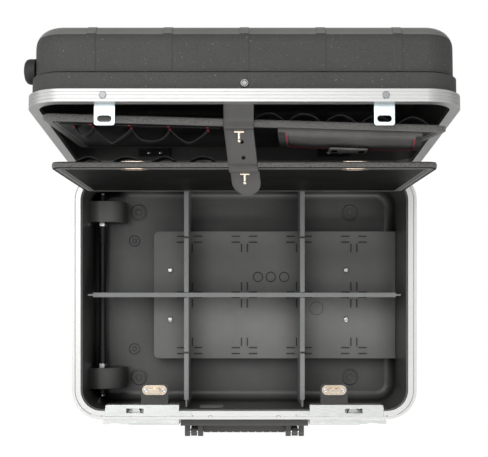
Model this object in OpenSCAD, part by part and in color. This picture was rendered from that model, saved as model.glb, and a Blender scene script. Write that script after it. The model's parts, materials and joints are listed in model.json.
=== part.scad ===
// Hard tool case on two wheels: moulded shells in aluminium frames, lid open, two tool pallets,
// slot-in dividers, slide locks, folding carry handle and a telescopic pull handle.
// Origin: centre of the base on the plane of the foot bottoms. X to the right, Y to the back, Z up.

/* [Case] */
// Width over the frame
case_w = 490; // [470:5:520]
// Depth over the frame
case_d = 354; // [344:2:370]
// Depth of the base, from its rim to its underside
base_h = 154; // [146:2:170]
// Depth of the lid, from its rim to its top
lid_h = 92; // [88:1:100]
// Plan radius of the frame's outer corner
corner_r = 42; // [38:1:46]
// Height of the rubber feet
foot_h = 6; // [4:0.5:8]
// Radius of the rubber feet
foot_r = 12; // [9:0.5:13]
// Angle of the open lid from shut
lid_open = 95.1; // [94:0.1:97]

/* [Shell] */
// Thickness of the moulded shell
wall = 4; // [3.4:0.1:4.4]
// Inset of the base's main wall from the frame's outer face
shell_inset = 10; // [9:0.5:11]
// Inset of the lid's main wall from the frame's outer face
lid_inset = 7.5; // [7:0.1:8.5]
// Inset of the band next to the frame
band_inset = 4; // [4:0.1:4.6]
// Height of the band
band_h = 19.5; // [19:0.5:23]
// Fillet between the base's walls and its floor
floor_fillet = 14; // [11:1:16]
// Outer edge radius of the lid
lid_edge_r = 22; // [18:1:24]
// Width of the raised ribs
rib_w = 10; // [8:1:13]
// Distance between the raised ribs
rib_pitch = 85.5; // [82:0.5:88]
// Height of the raised ribs
rib_out = 0.5; // [0.3:0.1:0.8]

/* [Frame] */
// Height of the frame's outer face
frame_h = 14.5; // [14:0.5:16]
// Width of the frame's rim seen in plan
frame_w = 12; // [11:0.2:12.4]
// Thickness of the frame's outer wall
frame_wall = 3.8; // [3.4:0.1:3.8]
// Thickness of the frame's rim
frame_web = 6.4; // [5.6:0.2:7]
// Gap between the two frames when shut
mate_gap = 0.4; // [0.3:0.1:0.8]

/* [Hinges] */
// Distance from the frame's back face to the hinge axis
hinge_out = 4; // [3.9:0.1:4.4]
// Radius of the hinge knuckles
hinge_r = 3.4; // [3:0.1:3.6]
// Radius of the hinge pins
hinge_pin_r = 1.6; // [1.4:0.1:1.8]
// Length of each hinge
hinge_len = 60; // [50:5:70]
// Distance between the hinges
hinge_pitch = 150; // [120:5:160]
// Thickness of the hinge leaves
leaf_t = 1.6; // [1.2:0.1:1.8]

/* [Wheels] */
// Radius of the wheels
wheel_r = 32; // [29:0.5:32]
// Width of the wheels
wheel_w = 22; // [20:0.5:24]
// Radius of the axle
axle_r = 4; // [3.5:0.1:4.5]
// Distance of each wheel from the middle of the case
wheel_y = 125.6; // [122:0.2:127]
// Distance of the axle from the frame's left face
axle_in = 27.3; // [26:0.1:30]
// Clearance of the wheels over the ground while the case lies flat
wheel_lift = 3; // [2:0.5:4]
// Clearance between a wheel and its arch
arch_gap = 3.3; // [2.5:0.1:3.5]
// Thickness of the arches
arch_wall = 3; // [2.4:0.1:3.4]
// Thickness of the tyres
tyre_t = 8; // [6:0.5:9]

/* [Pull handle] */
// Width of the cover over the pull handle
cover_d = 194; // [190:1:200]
// Height of the cover over the floor
cover_h = 32; // [30:1:34]
// Thickness of the cover
cover_t = 2.5; // [2:0.1:3]
// Distance between the two tubes
tube_pitch = 140; // [136:1:144]
// Width of the outer tubes
tube_w = 22; // [20:0.5:23]
// Height of the outer tubes
tube_h = 16; // [15:0.5:17]
// Thickness of the tube walls
tube_t = 1.5; // [1.3:0.1:1.6]
// Travel of each of the two stages
stage_travel = 280; // [240:10:290]
// Length that each drawn stage still keeps in the one before it
tube_hold = 86; // [70:2:100]
// Width of the grip bar
grip_x = 16; // [14:1:18]
// Height of the grip bar
grip_z = 20; // [18:0.5:21]
// Travel of the release button
button_travel = 3; // [2:0.5:3.5]

/* [Dividers] */
// Distance of the cross dividers from the middle of the case
divider_x = 83.6; // [80:0.2:86]
// Depth of the divider tops below the rim
divider_drop = 20; // [18:1:24]
// Thickness of the divider plates
divider_t = 2.4; // [2:0.1:3]
// Width of the divider top bars
bar_w = 6.4; // [5.5:0.1:7.5]
// Height of the divider top bars
bar_h = 4; // [3:0.5:5]
// Distance of the spare slots from the middle of a cross divider
spare_slot_y = 83; // [80:1:85]

/* [Locks] */
// Gap between the carry handle's base and the locks
lock_side = 1; // [0.5:0.1:1.6]
// Length of the lock flange
lock_w = 105; // [103:0.5:107]
// Distance from the lock flange's inner end to the lock slot
lock_slot_in = 62.5; // [61.5:0.1:63]
// Width of the lock slot
lock_slot_w = 25; // [24.5:0.5:26]
// Depth of the lock box below the rim
lock_box_h = 32; // [29:1:33]
// How far the lock stands out of the frame's front face
lock_out = 8; // [8:0.1:9]
// Travel of the thumb piece
slider_travel = 8; // [6:0.5:8]
// Travel of the lock bolt
bolt_travel = 3.5; // [3.4:0.1:3.6]
// Width of the striker plates on the lid
striker_w = 23; // [22:0.2:23.4]
// How far the striker plates reach past the lid's rim
striker_reach = 24; // [23:0.5:25]

/* [Carry handle] */
// Width of the handle's base
handle_w = 184; // [180:1:184]
// How far the handle's base stands out of the frame's front face
handle_out = 12; // [11:0.5:14]
// Distance from the frame's front face to the handle's pivot
handle_pivot_out = 23; // [22:0.5:25]
// Depth of the handle's pivot below the rim
handle_pivot_drop = 54; // [52:1:58]
// Radius of the handle's pivot pins
handle_pin_r = 3; // [2.5:0.1:3.2]
// Thickness of the grip
handle_grip_t = 11; // [10:0.5:12]
// Height of the grip
handle_grip_h = 22; // [20:1:24]
// Distance between the grip's grooves
handle_groove_pitch = 11; // [10:0.5:12]

/* [Turn locks] */
// Distance of the turn locks from the middle of the case
turn_x = 129; // [128:0.5:130]
// Distance of the turn locks from the inner front wall
turn_in = 26.3; // [25:0.1:28]
// Depth of the turn lock bracket below the rim
turn_drop = 17; // [16.6:0.1:17.4]
// Width of the turn lock brackets
turn_bracket_w = 39; // [38:0.5:42]

/* [Pallets] */
// Thickness of the pallet boards
board_t = 7.4; // [7:0.2:8.2]
// Gap between the lower pallet and each inner side wall
lower_side = 6; // [5:0.5:11]
// Distance from the inner back wall to the lower pallet's axis
lower_in = 12; // [11:0.2:13]
// Depth of the lower pallet's axis below the rim
lower_drop = 8; // [7.6:0.1:8.4]
// Distance from the eyelets to the lower pallet's free edge
eyelet_edge = 10.3; // [9:0.1:11]
// Gap between the upper pallet and each inner side wall of the lid
upper_side = 4.5; // [4.5:0.5:10]
// How much shorter the upper pallet is than the lid's inside
upper_short = 27; // [24:1:31]
// Distance from the upper pallet's axis to the lid hinge axis, along the lid's rim
upper_in = 24; // [23:0.5:26]
// Depth of the upper pallet's axis in the lid
upper_deep = 26; // [25:0.5:28]
// Forward lean of the upper pallet out of the lid, held by the strap
upper_lean = 7.8; // [7.4:0.1:8.2]
// Radius of the boards' free corners
board_r = 14; // [10:1:18]
// Radius of the pallet hinge pins
pallet_pin_r = 2; // [1.8:0.1:2.2]
// Height of the elastic tool loops
loop_h = 25; // [20:1:30]
// Thickness of the elastic
loop_t = 1.6; // [1.2:0.1:2]

/* [Strap] */
// Width of the retaining strap
strap_w = 34; // [30:1:36]
// Thickness of the retaining strap
strap_t = 2.5; // [2:0.1:3]

/* [Hidden] */
$fn = 64;

// Clearances: pieces that seat, pieces that move past each other, pins that turn in bores
seat = 0.2;
gap = 0.3;
run = 0.05;
eps = 0.01;

// Levels and half sizes
rim = foot_h + base_h;
floor_z = foot_h + wall;
mate = rim + mate_gap;
lid_top = mate + lid_h;
half_w = case_w / 2;
half_d = case_d / 2;
main_w = case_w - 2 * shell_inset;
main_d = case_d - 2 * shell_inset;
main_r = corner_r - shell_inset;
in_w = main_w - 2 * wall;
in_d = main_d - 2 * wall;
in_r = main_r - wall;
lid_w = case_w - 2 * lid_inset;
lid_d = case_d - 2 * lid_inset;
lid_r = corner_r - lid_inset;
lid_in_w = lid_w - 2 * wall;
lid_in_d = lid_d - 2 * wall;
lid_in_r = lid_r - wall;
step_z = mate + frame_h + band_h;
band_w = case_w - 2 * band_inset;
band_d = case_d - 2 * band_inset;
band_r = corner_r - band_inset;
edge_r = floor_fillet + wall;
foot_x = half_w - 81;
foot_y = half_d - 49.3;
hinge_y = half_d + hinge_out;
hinge_z = rim + mate_gap / 2;

// Places of the wheels
axle_x = -half_w + axle_in;
axle_z = wheel_r + wheel_lift;
arch_r = wheel_r + arch_gap;
arch_w = wheel_w + 3;
arch_side = wheel_y - arch_w / 2 - arch_wall;
arch_out = wheel_y + arch_w / 2 + arch_wall;
nut_t = 5;
sleeve_end = in_d / 2 - 10;
axle_end = sleeve_end + 2;

// Places of the pull handle
cover_z = floor_z + cover_h;
tube_z = floor_z + 7 + tube_h / 2;
mid_w = tube_w - 2 * tube_t - 2 * gap;
mid_h = tube_h - 2 * tube_t - 2 * gap;
inner_w = mid_w - 2 * tube_t - 2 * gap;
inner_h = mid_h - 2 * tube_t - 2 * gap;
bezel_x0 = in_w / 2 - 18;
bezel_x1 = main_w / 2 + 3;
tube_left = bezel_x1 - stage_travel - tube_hold;
cover_left = 10 - tube_left;
bezel_d = tube_pitch + 2 * 24;
bezel_z0 = floor_z + 1.5;
bezel_z1 = cover_z - cover_t - gap;
recess_d = tube_pitch - 28;
grip_x0 = bezel_x1 + 8;
grip_x1 = grip_x0 + grip_x;
grip_d = tube_pitch + 28;
button_d = 28;
button_h = 12;
button_out = 1.8;
spring_rest = 3;
button_floor = grip_x0 + 3;
button_x0 = button_floor + spring_rest + button_travel;
screw_x = [24.8 - cover_left, in_w / 2 - 75.7];
screw_y = 37.6;

// Places of the dividers
divider_top = rim - divider_drop;
divider_end = in_d / 2 - 1.4;
bar_end = in_d / 2 - 12;
long_end = in_w / 2 - 5.5;
long_bar_end = in_w / 2 - 13;
half_lap = divider_top - 50;

// Places of the locks
lock_x0 = handle_w / 2 + lock_side;
lock_x1 = lock_x0 + lock_w;
lock_x = lock_x0 + lock_slot_in;
lock_y0 = -half_d + frame_wall + gap;
lock_y1 = -half_d + frame_w + 8.5;
slot_y0 = -half_d + 8.6;
slot_y1 = slot_y0 + 6.8;
flange_t = 2;
nose_w = 13;
nose_z0 = rim - 18.9;
nose_h = 5.4;
lock_face = -half_d - lock_out;
plate_y0 = -half_d - 1.4;
cover_x1 = lock_x + 9.5;
slider_x1 = cover_x1 + 37.5;
striker_y = slot_y0 + 3.4;
striker_t = 2;
nose_tip = striker_y - striker_t / 2 - 0.4 + bolt_travel;
bolt_t = 1.4;
bolt_back = plate_y0 - gap;
hollow_y = bolt_back - bolt_t - bolt_travel - 0.1;
stop_x = slider_x1 - 4;
pocket_x = stop_x - slider_travel - 9.5;

// Places of the carry handle
handle_y = -half_d - handle_pivot_out;
handle_z = rim - handle_pivot_drop;
pin_x = handle_w / 2 - 18.1;
ear_x = [[pin_x - 13.3, pin_x - 5.9], [pin_x + 5.9, pin_x + 13.3]];
knuckle_x = [pin_x - 4.3, pin_x + 4.3];
knuckle_r = 7;

// Places of the turn locks
turn_y = -in_d / 2 + turn_in;
turn_z = rim - turn_drop;
turn_plate_t = 1.5;
wing_z = rim - lower_drop + board_t / 2 + 1.2;

// Places of the pallets
lower_w = in_w - 2 * lower_side;
upper_w = lid_in_w - 2 * upper_side;
upper_len = lid_in_d - upper_short;
lower_y = in_d / 2 - lower_in;
lower_z = rim - lower_drop;
lower_len = lower_y - turn_y + eyelet_edge;
upper_y = hinge_y - upper_in;
upper_z = mate + upper_deep;
bolt_z = mate + 21.6;
rivet_z = mate + frame_h / 2;
striker_slot_z = mate - 16.5;
lug_x = 0.28 * lower_w;
loop_pitch = 45;
loop_out = 12;
stud_foot = 1;
stud_drop = 12;
strap_face = board_t / 2 + stud_foot + gap + strap_t / 2 + 0.3;

// Points of the side view, [y, z]: turned by an angle, in the open lid, on the upper and lower board
function turn(p, a) = [p[0] * cos(a) - p[1] * sin(a), p[0] * sin(a) + p[1] * cos(a)];
function in_lid(y, z) = [hinge_y, hinge_z] + turn([y - hinge_y, z - hinge_z], -lid_open);
function on_upper(y, z) = let (p = turn([y, z], 90 + upper_lean)) in_lid(upper_y + p[0], upper_z + p[1]);
function on_lower(y, z) = [lower_y + y, lower_z + z];

// Middle line of the strap where it lies flat inside the lid's front wall and frame
strap_y = -half_d + max(frame_w, lid_inset + wall) + strap_t / 2 + seat;

// Middle line of the strap from inside the lid, over both boards and past the lower stud
strap_upper = [
  in_lid(strap_y, mate + 34),
  in_lid(strap_y, mate + 3),
  on_upper(board_t / 2 - 1.5, upper_len + strap_t / 2 + 2.4),
  on_upper(-board_t / 2 - 2.2, upper_len + 1),
  on_upper(-strap_face, upper_len - stud_drop + 3),
  on_upper(-strap_face, upper_len - stud_drop - 3)
];
lower_bend = on_lower(-strap_face, lower_len - eyelet_edge - 3);
strap_lower = [
  on_lower(4.5, lower_len + strap_t / 2 + 1.8),
  on_lower(-2.5, lower_len + strap_t / 2 + 1.3),
  on_lower(-strap_face - 1, lower_len - 0.4),
  on_lower(-strap_face, lower_len - eyelet_edge + 3),
  lower_bend,
  lower_bend + [-8, -4.7],
  lower_bend + [-14, -8.3],
  lower_bend + [-19, -11.2],
  lower_bend + [-23, -13.6],
  lower_bend + [-25.4, -15],
  lower_bend + [-26.2, -15.5]
];

// Turns a shape about the lid's hinge axis from shut to open
module open_lid() {
  translate([0, hinge_y, hinge_z]) rotate([-lid_open, 0, 0]) translate([0, -hinge_y, -hinge_z])
    children();
}

// Stands the upper pallet in the open lid: drawn with its axis at the origin and the board up
module upper_place() {
  open_lid() translate([0, upper_y, upper_z]) rotate([90 + upper_lean, 0, 0]) children();
}

// Stands the lower pallet on its axis, with the board up
module lower_place() {
  translate([0, lower_y, lower_z]) children();
}

module both_sides() {
  children();
  mirror([1, 0, 0]) children();
}

module rounded(w, d, r) {
  square([w - 2 * r, d], center = true);
  square([w, d - 2 * r], center = true);
  for (x = [-1, 1], y = [-1, 1]) translate([x * (w / 2 - r), y * (d / 2 - r)]) circle(r);
}

module block(w, d, h, r) {
  linear_extrude(h) rounded(w, d, r);
}

// Outline of a box side with both lower corners rounded
module soft_side(w, h, r) {
  translate([-w / 2, r]) square([w, h - r]);
  translate([-w / 2 + r, 0]) square([w - 2 * r, h]);
  for (x = [-1, 1]) translate([x * (w / 2 - r), r]) circle(r);
}

// Block with plan corners of radius big_r and its lower edges rounded to r
module soft_box(w, d, h, big_r, r) {
  rotate([90, 0, 90]) translate([0, 0, -w / 2 + big_r])
    linear_extrude(w - 2 * big_r) soft_side(d, h, r);
  rotate([90, 0, 0]) translate([0, 0, -d / 2 + big_r])
    linear_extrude(d - 2 * big_r) soft_side(w, h, r);
  for (x = [-1, 1], y = [-1, 1]) translate([x * (w / 2 - big_r), y * (d / 2 - big_r), 0])
    rotate_extrude() {
      square([big_r - r, h]);
      translate([0, r]) square([big_r, h - r]);
      translate([big_r - r, r]) intersection() {
        circle(r);
        translate([0, -r]) square(r);
      }
    }
}

// Box from one corner to the other
module span(low, high) {
  translate(low) cube([high[0] - low[0], high[1] - low[1], high[2] - low[2]]);
}

// Cylinder along X from x0 to x1
module rod_x(x0, x1, y, z, r) {
  translate([x0, y, z]) rotate([0, 90, 0]) cylinder(h = x1 - x0, r = r);
}

// Cylinder along Y from y0 to y1
module rod_y(x, y0, y1, z, r) {
  translate([x, y0, z]) rotate([-90, 0, 0]) cylinder(h = y1 - y0, r = r);
}

// Oval outline with its long side along X
module oval(w, h) {
  square([w - h, h], center = true);
  for (x = [-1, 1]) translate([x * (w - h) / 2, 0]) circle(h / 2);
}

// Rectangular tube along X
module tube(x0, x1, y, w, h, t, r) {
  translate([x0, y, tube_z]) rotate([90, 0, 90]) linear_extrude(x1 - x0) difference() {
    rounded(w, h, r);
    rounded(w - 2 * t, h - 2 * t, r - t / 2);
  }
}

// Wound spring along Z: steps points on each of its turns, with a six-sided wire
module coil(r, wire, turns, length) {
  steps = 12;
  sides = 6;
  rings = turns * steps;
  points = [
    for (i = [0:rings], j = [0:sides - 1])
      let (a = 360 * i / steps, b = 360 * j / sides, rr = r + wire * cos(b))
      [rr * cos(a), rr * sin(a), wire + (length - 2 * wire) * i / rings + wire * sin(b)]
  ];
  skin = [
    for (i = [0:rings - 1], j = [0:sides - 1])
      let (k = (j + 1) % sides, a = i * sides, b = (i + 1) * sides)
      each [[a + j, b + j, b + k], [a + j, b + k, a + k]]
  ];
  ends = [
    for (j = [1:sides - 2])
      each [[0, j, j + 1], [rings * sides, rings * sides + j + 1, rings * sides + j]]
  ];
  polyhedron(points, concat(skin, ends), convexity = 6);
}

// Frame ring standing up from z = 0, with its rim at the top and the shell's channel below it
module frame_ring() {
  difference() {
    block(case_w, case_d, frame_h, corner_r);
    translate([0, 0, -1]) block(case_w - 2 * frame_w, case_d - 2 * frame_w, frame_h + 2, corner_r - frame_w);
    translate([0, 0, -1]) block(case_w - 2 * frame_wall, case_d - 2 * frame_wall,
      frame_h - frame_web + 1, corner_r - frame_wall);
    face_lines();
  }
}

// Fine lines along the frame's outer face
module face_lines() {
  for (z = [frame_h * 0.24, frame_h * 0.5, frame_h * 0.76]) translate([0, 0, z - 0.4]) difference() {
    block(case_w + 2, case_d + 2, 0.8, corner_r + 1);
    translate([0, 0, -1]) block(case_w - 1, case_d - 1, 3, corner_r - 0.5);
  }
}

// Narrow groove, as deep as d, between the band and a main wall of w by l with corners of radius r
module band_groove(z, w, l, r, d = 1.2) {
  translate([0, 0, z]) difference() {
    block(case_w, case_d, 2, corner_r);
    translate([0, 0, -1]) block(w - 2 * d, l - 2 * d, 4, r - d);
  }
}

module wheel_arches() {
  intersection() {
    translate([0, 0, foot_h]) soft_box(main_w, main_d, base_h / 2, main_r, edge_r);
    for (y = [-wheel_y, wheel_y])
      rod_y(axle_x, y - arch_w / 2 - arch_wall, y + arch_w / 2 + arch_wall, axle_z, arch_r + arch_wall);
  }
}

module wheel_cuts() {
  for (y = [-wheel_y, wheel_y]) rod_y(axle_x, y - arch_w / 2, y + arch_w / 2, axle_z, arch_r);
  rod_y(axle_x, -arch_out - 1, arch_out + 1, axle_z, axle_r + run);
}

// Posts for the cover's screws and saddles under the outer tubes
module floor_posts() {
  for (x = screw_x, y = [-screw_y, screw_y]) translate([x, y, floor_z - 1])
    cylinder(h = cover_h - cover_t - seat + 1, r = 5);
  for (x = [tube_left + 20, screw_x[1] / 2, in_w / 2 - 46], y = [-tube_pitch / 2, tube_pitch / 2])
    span([x - 5, y - tube_w / 2, floor_z - 1], [x + 5, y + tube_w / 2, tube_z - tube_h / 2]);
}

// Window through the front wall that a lock sits in
module lock_window() {
  span([lock_x0 + 0.4, -half_d, rim - lock_box_h - gap], [lock_x1 + 0.2, -in_d / 2 + 1, rim + 1]);
}

module base_shell() {
  color("#4d4d4b") difference() {
    union() {
      difference() {
        union() {
          translate([0, 0, foot_h]) soft_box(main_w, main_d, base_h - frame_web, main_r, edge_r);
          translate([0, 0, rim - frame_h - band_h])
            block(band_w, band_d, frame_h + band_h - frame_web, band_r);
          for (i = [-2:2], s = [0, 1]) mirror([0, s, 0])
            span([i * rib_pitch - rib_w / 2, main_d / 2 - 1, foot_h + edge_r],
              [i * rib_pitch + rib_w / 2, main_d / 2 + rib_out, rim - frame_h - band_h - 4]);
        }
        translate([0, 0, floor_z]) soft_box(in_w, in_d, base_h, in_r, floor_fillet);
        band_groove(rim - frame_h - band_h - 2 + eps, main_w, main_d, main_r);
      }
      wheel_arches();
      floor_posts();
    }
    wheel_cuts();
    both_sides() lock_window();
    for (x = screw_x, y = [-screw_y, screw_y]) translate([x, y, floor_z + 2]) cylinder(h = cover_h, r = 1.9);
    span([bezel_x0 - 1, -bezel_d / 2 - seat, bezel_z0 - seat],
      [main_w / 2 + 1, bezel_d / 2 + seat, bezel_z1 + seat]);
  }
}

module base_frame() {
  color("#e4e6e8") difference() {
    translate([0, 0, rim - frame_h]) frame_ring();
    translate([0, 0, rim - 1]) difference() {
      block(case_w - 2 * frame_wall, case_d - 2 * frame_wall, 2, corner_r - frame_wall);
      translate([0, 0, -1]) block(case_w - 2 * frame_wall - 2, case_d - 2 * frame_wall - 2, 4,
        corner_r - frame_wall - 1);
    }
    both_sides() {
      span([lock_x0 - seat, lock_y0 - seat, rim - frame_web - 1], [lock_x1 + seat, -in_d / 2, rim + 1]);
      span([lock_x0 - 18.2, lock_y0 - seat, rim - flange_t], [lock_x0, -half_d + 10.7, rim + 1]);
      span([lock_x - nose_w / 2 - 0.4, -half_d - 1, rim - frame_h - 1],
        [lock_x + nose_w / 2 + 0.4, -half_d + frame_w, nose_z0 + nose_h + 0.4]);
    }
  }
}

module base_feet() {
  color("#2b2b2a") for (x = [-foot_x, foot_x], y = [-foot_y, foot_y]) translate([x, y, 0]) rotate_extrude()
    polygon([[0, 0], [foot_r - 1.5, 0], [foot_r, 1.5], [foot_r, foot_h - 1], [foot_r - 1, foot_h],
      [0, foot_h]]);
}

// One hinge: knuckles of one leaf, its plate against the frame, reaching down from the axis
module hinge_leaf(x, slots) {
  knuckle = hinge_len / 5;
  plate_y = half_d;
  difference() {
    union() {
      for (i = slots) {
        rod_x(x - hinge_len / 2 + i * knuckle + gap / 2, x - hinge_len / 2 + (i + 1) * knuckle - gap / 2,
          hinge_y, hinge_z, hinge_r);
        span([x - hinge_len / 2 + i * knuckle + gap / 2, plate_y, hinge_z - hinge_r - 2],
          [x - hinge_len / 2 + (i + 1) * knuckle - gap / 2, plate_y + leaf_t, hinge_z - 0.6]);
      }
      span([x - hinge_len / 2, plate_y, rim - frame_h + 1],
        [x + hinge_len / 2, plate_y + leaf_t, hinge_z - hinge_r - 0.6]);
      for (i = slots) span([x - hinge_len / 2 + i * knuckle + gap / 2, plate_y, hinge_z - hinge_r],
        [x - hinge_len / 2 + (i + 1) * knuckle - gap / 2, hinge_y, hinge_z - hinge_r + leaf_t]);
    }
    rod_x(x - hinge_len, x + hinge_len, hinge_y, hinge_z, hinge_pin_r + run);
  }
}

module hinge_base_leaves() {
  color("#c9ccd0") for (x = [-hinge_pitch, 0, hinge_pitch]) hinge_leaf(x, [0, 2, 4]);
}

module hinge_lid_leaves() {
  color("#c9ccd0") open_lid() for (x = [-hinge_pitch, 0, hinge_pitch])
    translate([0, 0, 2 * hinge_z]) mirror([0, 0, 1]) hinge_leaf(x, [1, 3]);
}

module hinge_pins() {
  color("#b8bcc2") for (x = [-hinge_pitch, 0, hinge_pitch]) {
    rod_x(x - hinge_len / 2 - 1, x + hinge_len / 2 + 1, hinge_y, hinge_z, hinge_pin_r);
    for (e = [-1, 1]) rod_x(x + e * (hinge_len / 2 + 0.8) - 0.6, x + e * (hinge_len / 2 + 0.8) + 0.6,
      hinge_y, hinge_z, hinge_pin_r + 0.8);
  }
}

module wheel_axle() {
  color("#b8bcc2") rod_y(axle_x, -axle_end, axle_end, axle_z, axle_r);
}

// Tube with stepped ends between the arches, and a short sleeve outside each arch
module axle_spacers() {
  color("#202020") {
    difference() {
      union() {
        rod_y(axle_x, -arch_side + nut_t + seat, arch_side - nut_t - seat, axle_z, axle_r + 1.4);
        for (e = [-1, 1]) {
          end_y = e * (arch_side - nut_t - 9);
          ring_y = e * (arch_side - nut_t - 22);
          rod_y(axle_x, end_y - 9 + seat, end_y + 9 - seat, axle_z, axle_r + 2.4);
          rod_y(axle_x, ring_y - 2, ring_y + 2, axle_z, axle_r + 3.2);
        }
      }
      rod_y(axle_x, -arch_side, arch_side, axle_z, axle_r + run);
    }
    for (e = [0, 1]) mirror([0, e, 0]) difference() {
      rod_y(axle_x, arch_out + seat, sleeve_end, axle_z, axle_r + 2);
      rod_y(axle_x, arch_out, axle_end, axle_z, axle_r + run);
    }
  }
}

module axle_nuts() {
  color("#c8cacc") for (e = [0, 1]) mirror([0, e, 0]) difference() {
    translate([axle_x, arch_side - nut_t, axle_z]) rotate([-90, 0, 0])
      cylinder(h = nut_t - seat, r = 7.4, $fn = 6);
    rod_y(axle_x, arch_side - nut_t - 1, arch_side + 1, axle_z, axle_r + run);
  }
}

// Pairs of short guide ribs for the dividers; sides lists the arms that are there
module guide_mark(sides) {
  rib = [12.5, 1.2, 0.8];
  for (a = sides, s = [-1, 1]) rotate([0, 0, a]) translate([7, s * 4.5 - rib[1] / 2, -eps]) cube(rib);
}

module trolley_cover() {
  right = in_w / 2 - seat;
  width = right + cover_left;
  color("#3c3c3d") difference() {
    union() {
      difference() {
        translate([width / 2 - cover_left + 10, 0, floor_z]) block(width + 20, cover_d, cover_h, 8);
        translate([width / 2 - cover_left + 10, 0, floor_z - 1])
          block(width + 20 - 2 * cover_t, cover_d - 2 * cover_t, cover_h - cover_t + 1, 8 - cover_t);
      }
      for (x = [-divider_x, 0, divider_x, 2 * divider_x]) translate([x, 0, cover_z]) {
        guide_mark([0, 90, 180, 270]);
        translate([0, 85, 0]) guide_mark([0, 180, 270]);
        translate([0, -85, 0]) guide_mark([0, 90, 180]);
      }
      for (x = [20.7, 40.2, 60.6]) translate([x, 27.5, cover_z - eps]) difference() {
        cylinder(h = 0.5, r = 7.5);
        translate([0, 0, -1]) cylinder(h = 3, r = 6.7);
      }
    }
    difference() {
      span([0, -cover_d, 0], [case_w, cover_d, rim]);
      translate([0, 0, floor_z]) soft_box(2 * right, in_d, base_h, in_r, floor_fillet);
    }
    for (x = screw_x, y = [-screw_y, screw_y])
      translate([x, y, cover_z - cover_t - 1]) cylinder(h = cover_h, r = 2.2);
  }
}

// Pan head screws: four hold the cover, four hold the turn lock plates
module base_screws() {
  color("#c8cacc") {
    for (x = screw_x, y = [-screw_y, screw_y]) translate([x, y, cover_z]) {
      cylinder(h = 2.2, r = 4);
      translate([0, 0, -12]) cylinder(h = 12 + eps, r = 1.8);
    }
    for (x = [-turn_x, turn_x], s = [-1, 1]) translate([x + s * 12.8, turn_y, turn_z + turn_plate_t]) {
      cylinder(h = 1.4, r = 2.8);
      translate([0, 0, -turn_plate_t - 5]) cylinder(h = turn_plate_t + 5 + eps, r = 1.3);
    }
  }
}

module trolley_outer_tubes() {
  color("#9a9da1") for (y = [-tube_pitch / 2, tube_pitch / 2])
    tube(tube_left, bezel_x1 - 1, y, tube_w, tube_h, tube_t, 3);
}

// Housing in the right wall that guides the tubes and leaves room for fingers behind the grip
module trolley_bezel() {
  color("#2e2e2e") difference() {
    span([bezel_x0, -bezel_d / 2, bezel_z0], [bezel_x1, bezel_d / 2, bezel_z1]);
    span([bezel_x0 + 3, -recess_d / 2, bezel_z0 + 2.5], [bezel_x1 + 1, recess_d / 2, bezel_z1 - 2.5]);
    for (y = [-tube_pitch / 2, tube_pitch / 2]) translate([bezel_x0 - 1, y, tube_z]) rotate([90, 0, 90])
      linear_extrude(bezel_x1 - bezel_x0 + 2) rounded(tube_w + 2 * seat, tube_h + 2 * seat, 3);
  }
}

module trolley_middle_tubes() {
  color("#aeb1b5") for (y = [-tube_pitch / 2, tube_pitch / 2])
    tube(tube_left + 6, bezel_x1 + 1, y, mid_w, mid_h, tube_t, 2.4);
}

module trolley_inner_tubes() {
  color("#c4c7ca") for (y = [-tube_pitch / 2, tube_pitch / 2])
    tube(tube_left + 12, grip_x0 + 3, y, inner_w, inner_h, tube_t, 2);
}

module trolley_grip() {
  color("#232323") difference() {
    union() {
      translate([(grip_x0 + grip_x1) / 2, 0, tube_z - grip_z / 2]) block(grip_x, grip_d, grip_z, 6);
      for (y = [-tube_pitch / 2, tube_pitch / 2])
        span([bezel_x1 + 1.5, y - tube_w / 2, tube_z - tube_h / 2],
          [grip_x0 + 4, y + tube_w / 2, tube_z + tube_h / 2]);
    }
    for (y = [-tube_pitch / 2, tube_pitch / 2]) translate([bezel_x1 - 1, y, tube_z]) rotate([90, 0, 90])
      linear_extrude(grip_x0 - bezel_x1 + 4.2) rounded(inner_w + 2 * seat, inner_h + 2 * seat, 2);
    span([button_floor, -button_d / 2, tube_z - button_h / 2],
      [grip_x1 + 1, button_d / 2, tube_z + button_h / 2]);
  }
}

module trolley_button() {
  color("#8f1f1f") translate([button_x0, 0, tube_z]) rotate([90, 0, 90])
    linear_extrude(grip_x1 + button_out - button_x0) rounded(button_d - 2 * gap, button_h - 2 * gap, 3);
}

module trolley_button_spring() {
  color("#b8bcc2") translate([button_floor, 0, tube_z]) rotate([0, 90, 0])
    coil(3.2, 0.4, 3, button_x0 - button_floor);
}

// Plate of a divider standing across the case at x = 0, down to the floor and over the cover
module cross_plate() {
  low = floor_z + seat;
  over = cover_z + 1;
  side = cover_d / 2 + 1;
  fillet = floor_fillet + 1;
  outline = [[-divider_end, divider_top], [-divider_end, low + fillet], [-divider_end + fillet, low],
    [-side, low], [-side, over], [side, over], [side, low], [divider_end - fillet, low],
    [divider_end, low + fillet], [divider_end, divider_top]];
  difference() {
    union() {
      translate([-divider_t / 2, 0, 0]) rotate([90, 0, 90]) linear_extrude(divider_t) polygon(outline);
      span([-bar_w / 2, -bar_end, divider_top - bar_h], [bar_w / 2, bar_end, divider_top]);
    }
    span([-bar_w, -bar_w / 2 - 0.8, divider_top - bar_h - 1], [bar_w, bar_w / 2 + 0.8, rim]);
    for (y = [-spare_slot_y, 0, spare_slot_y])
      span([-bar_w, y - divider_t / 2 - gap, half_lap], [bar_w, y + divider_t / 2 + gap, rim]);
  }
}

module left_cross_divider() {
  color("#8f9294") translate([-divider_x, 0, 0]) cross_plate();
}

module right_cross_divider() {
  color("#8f9294") translate([divider_x, 0, 0]) cross_plate();
}

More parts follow.
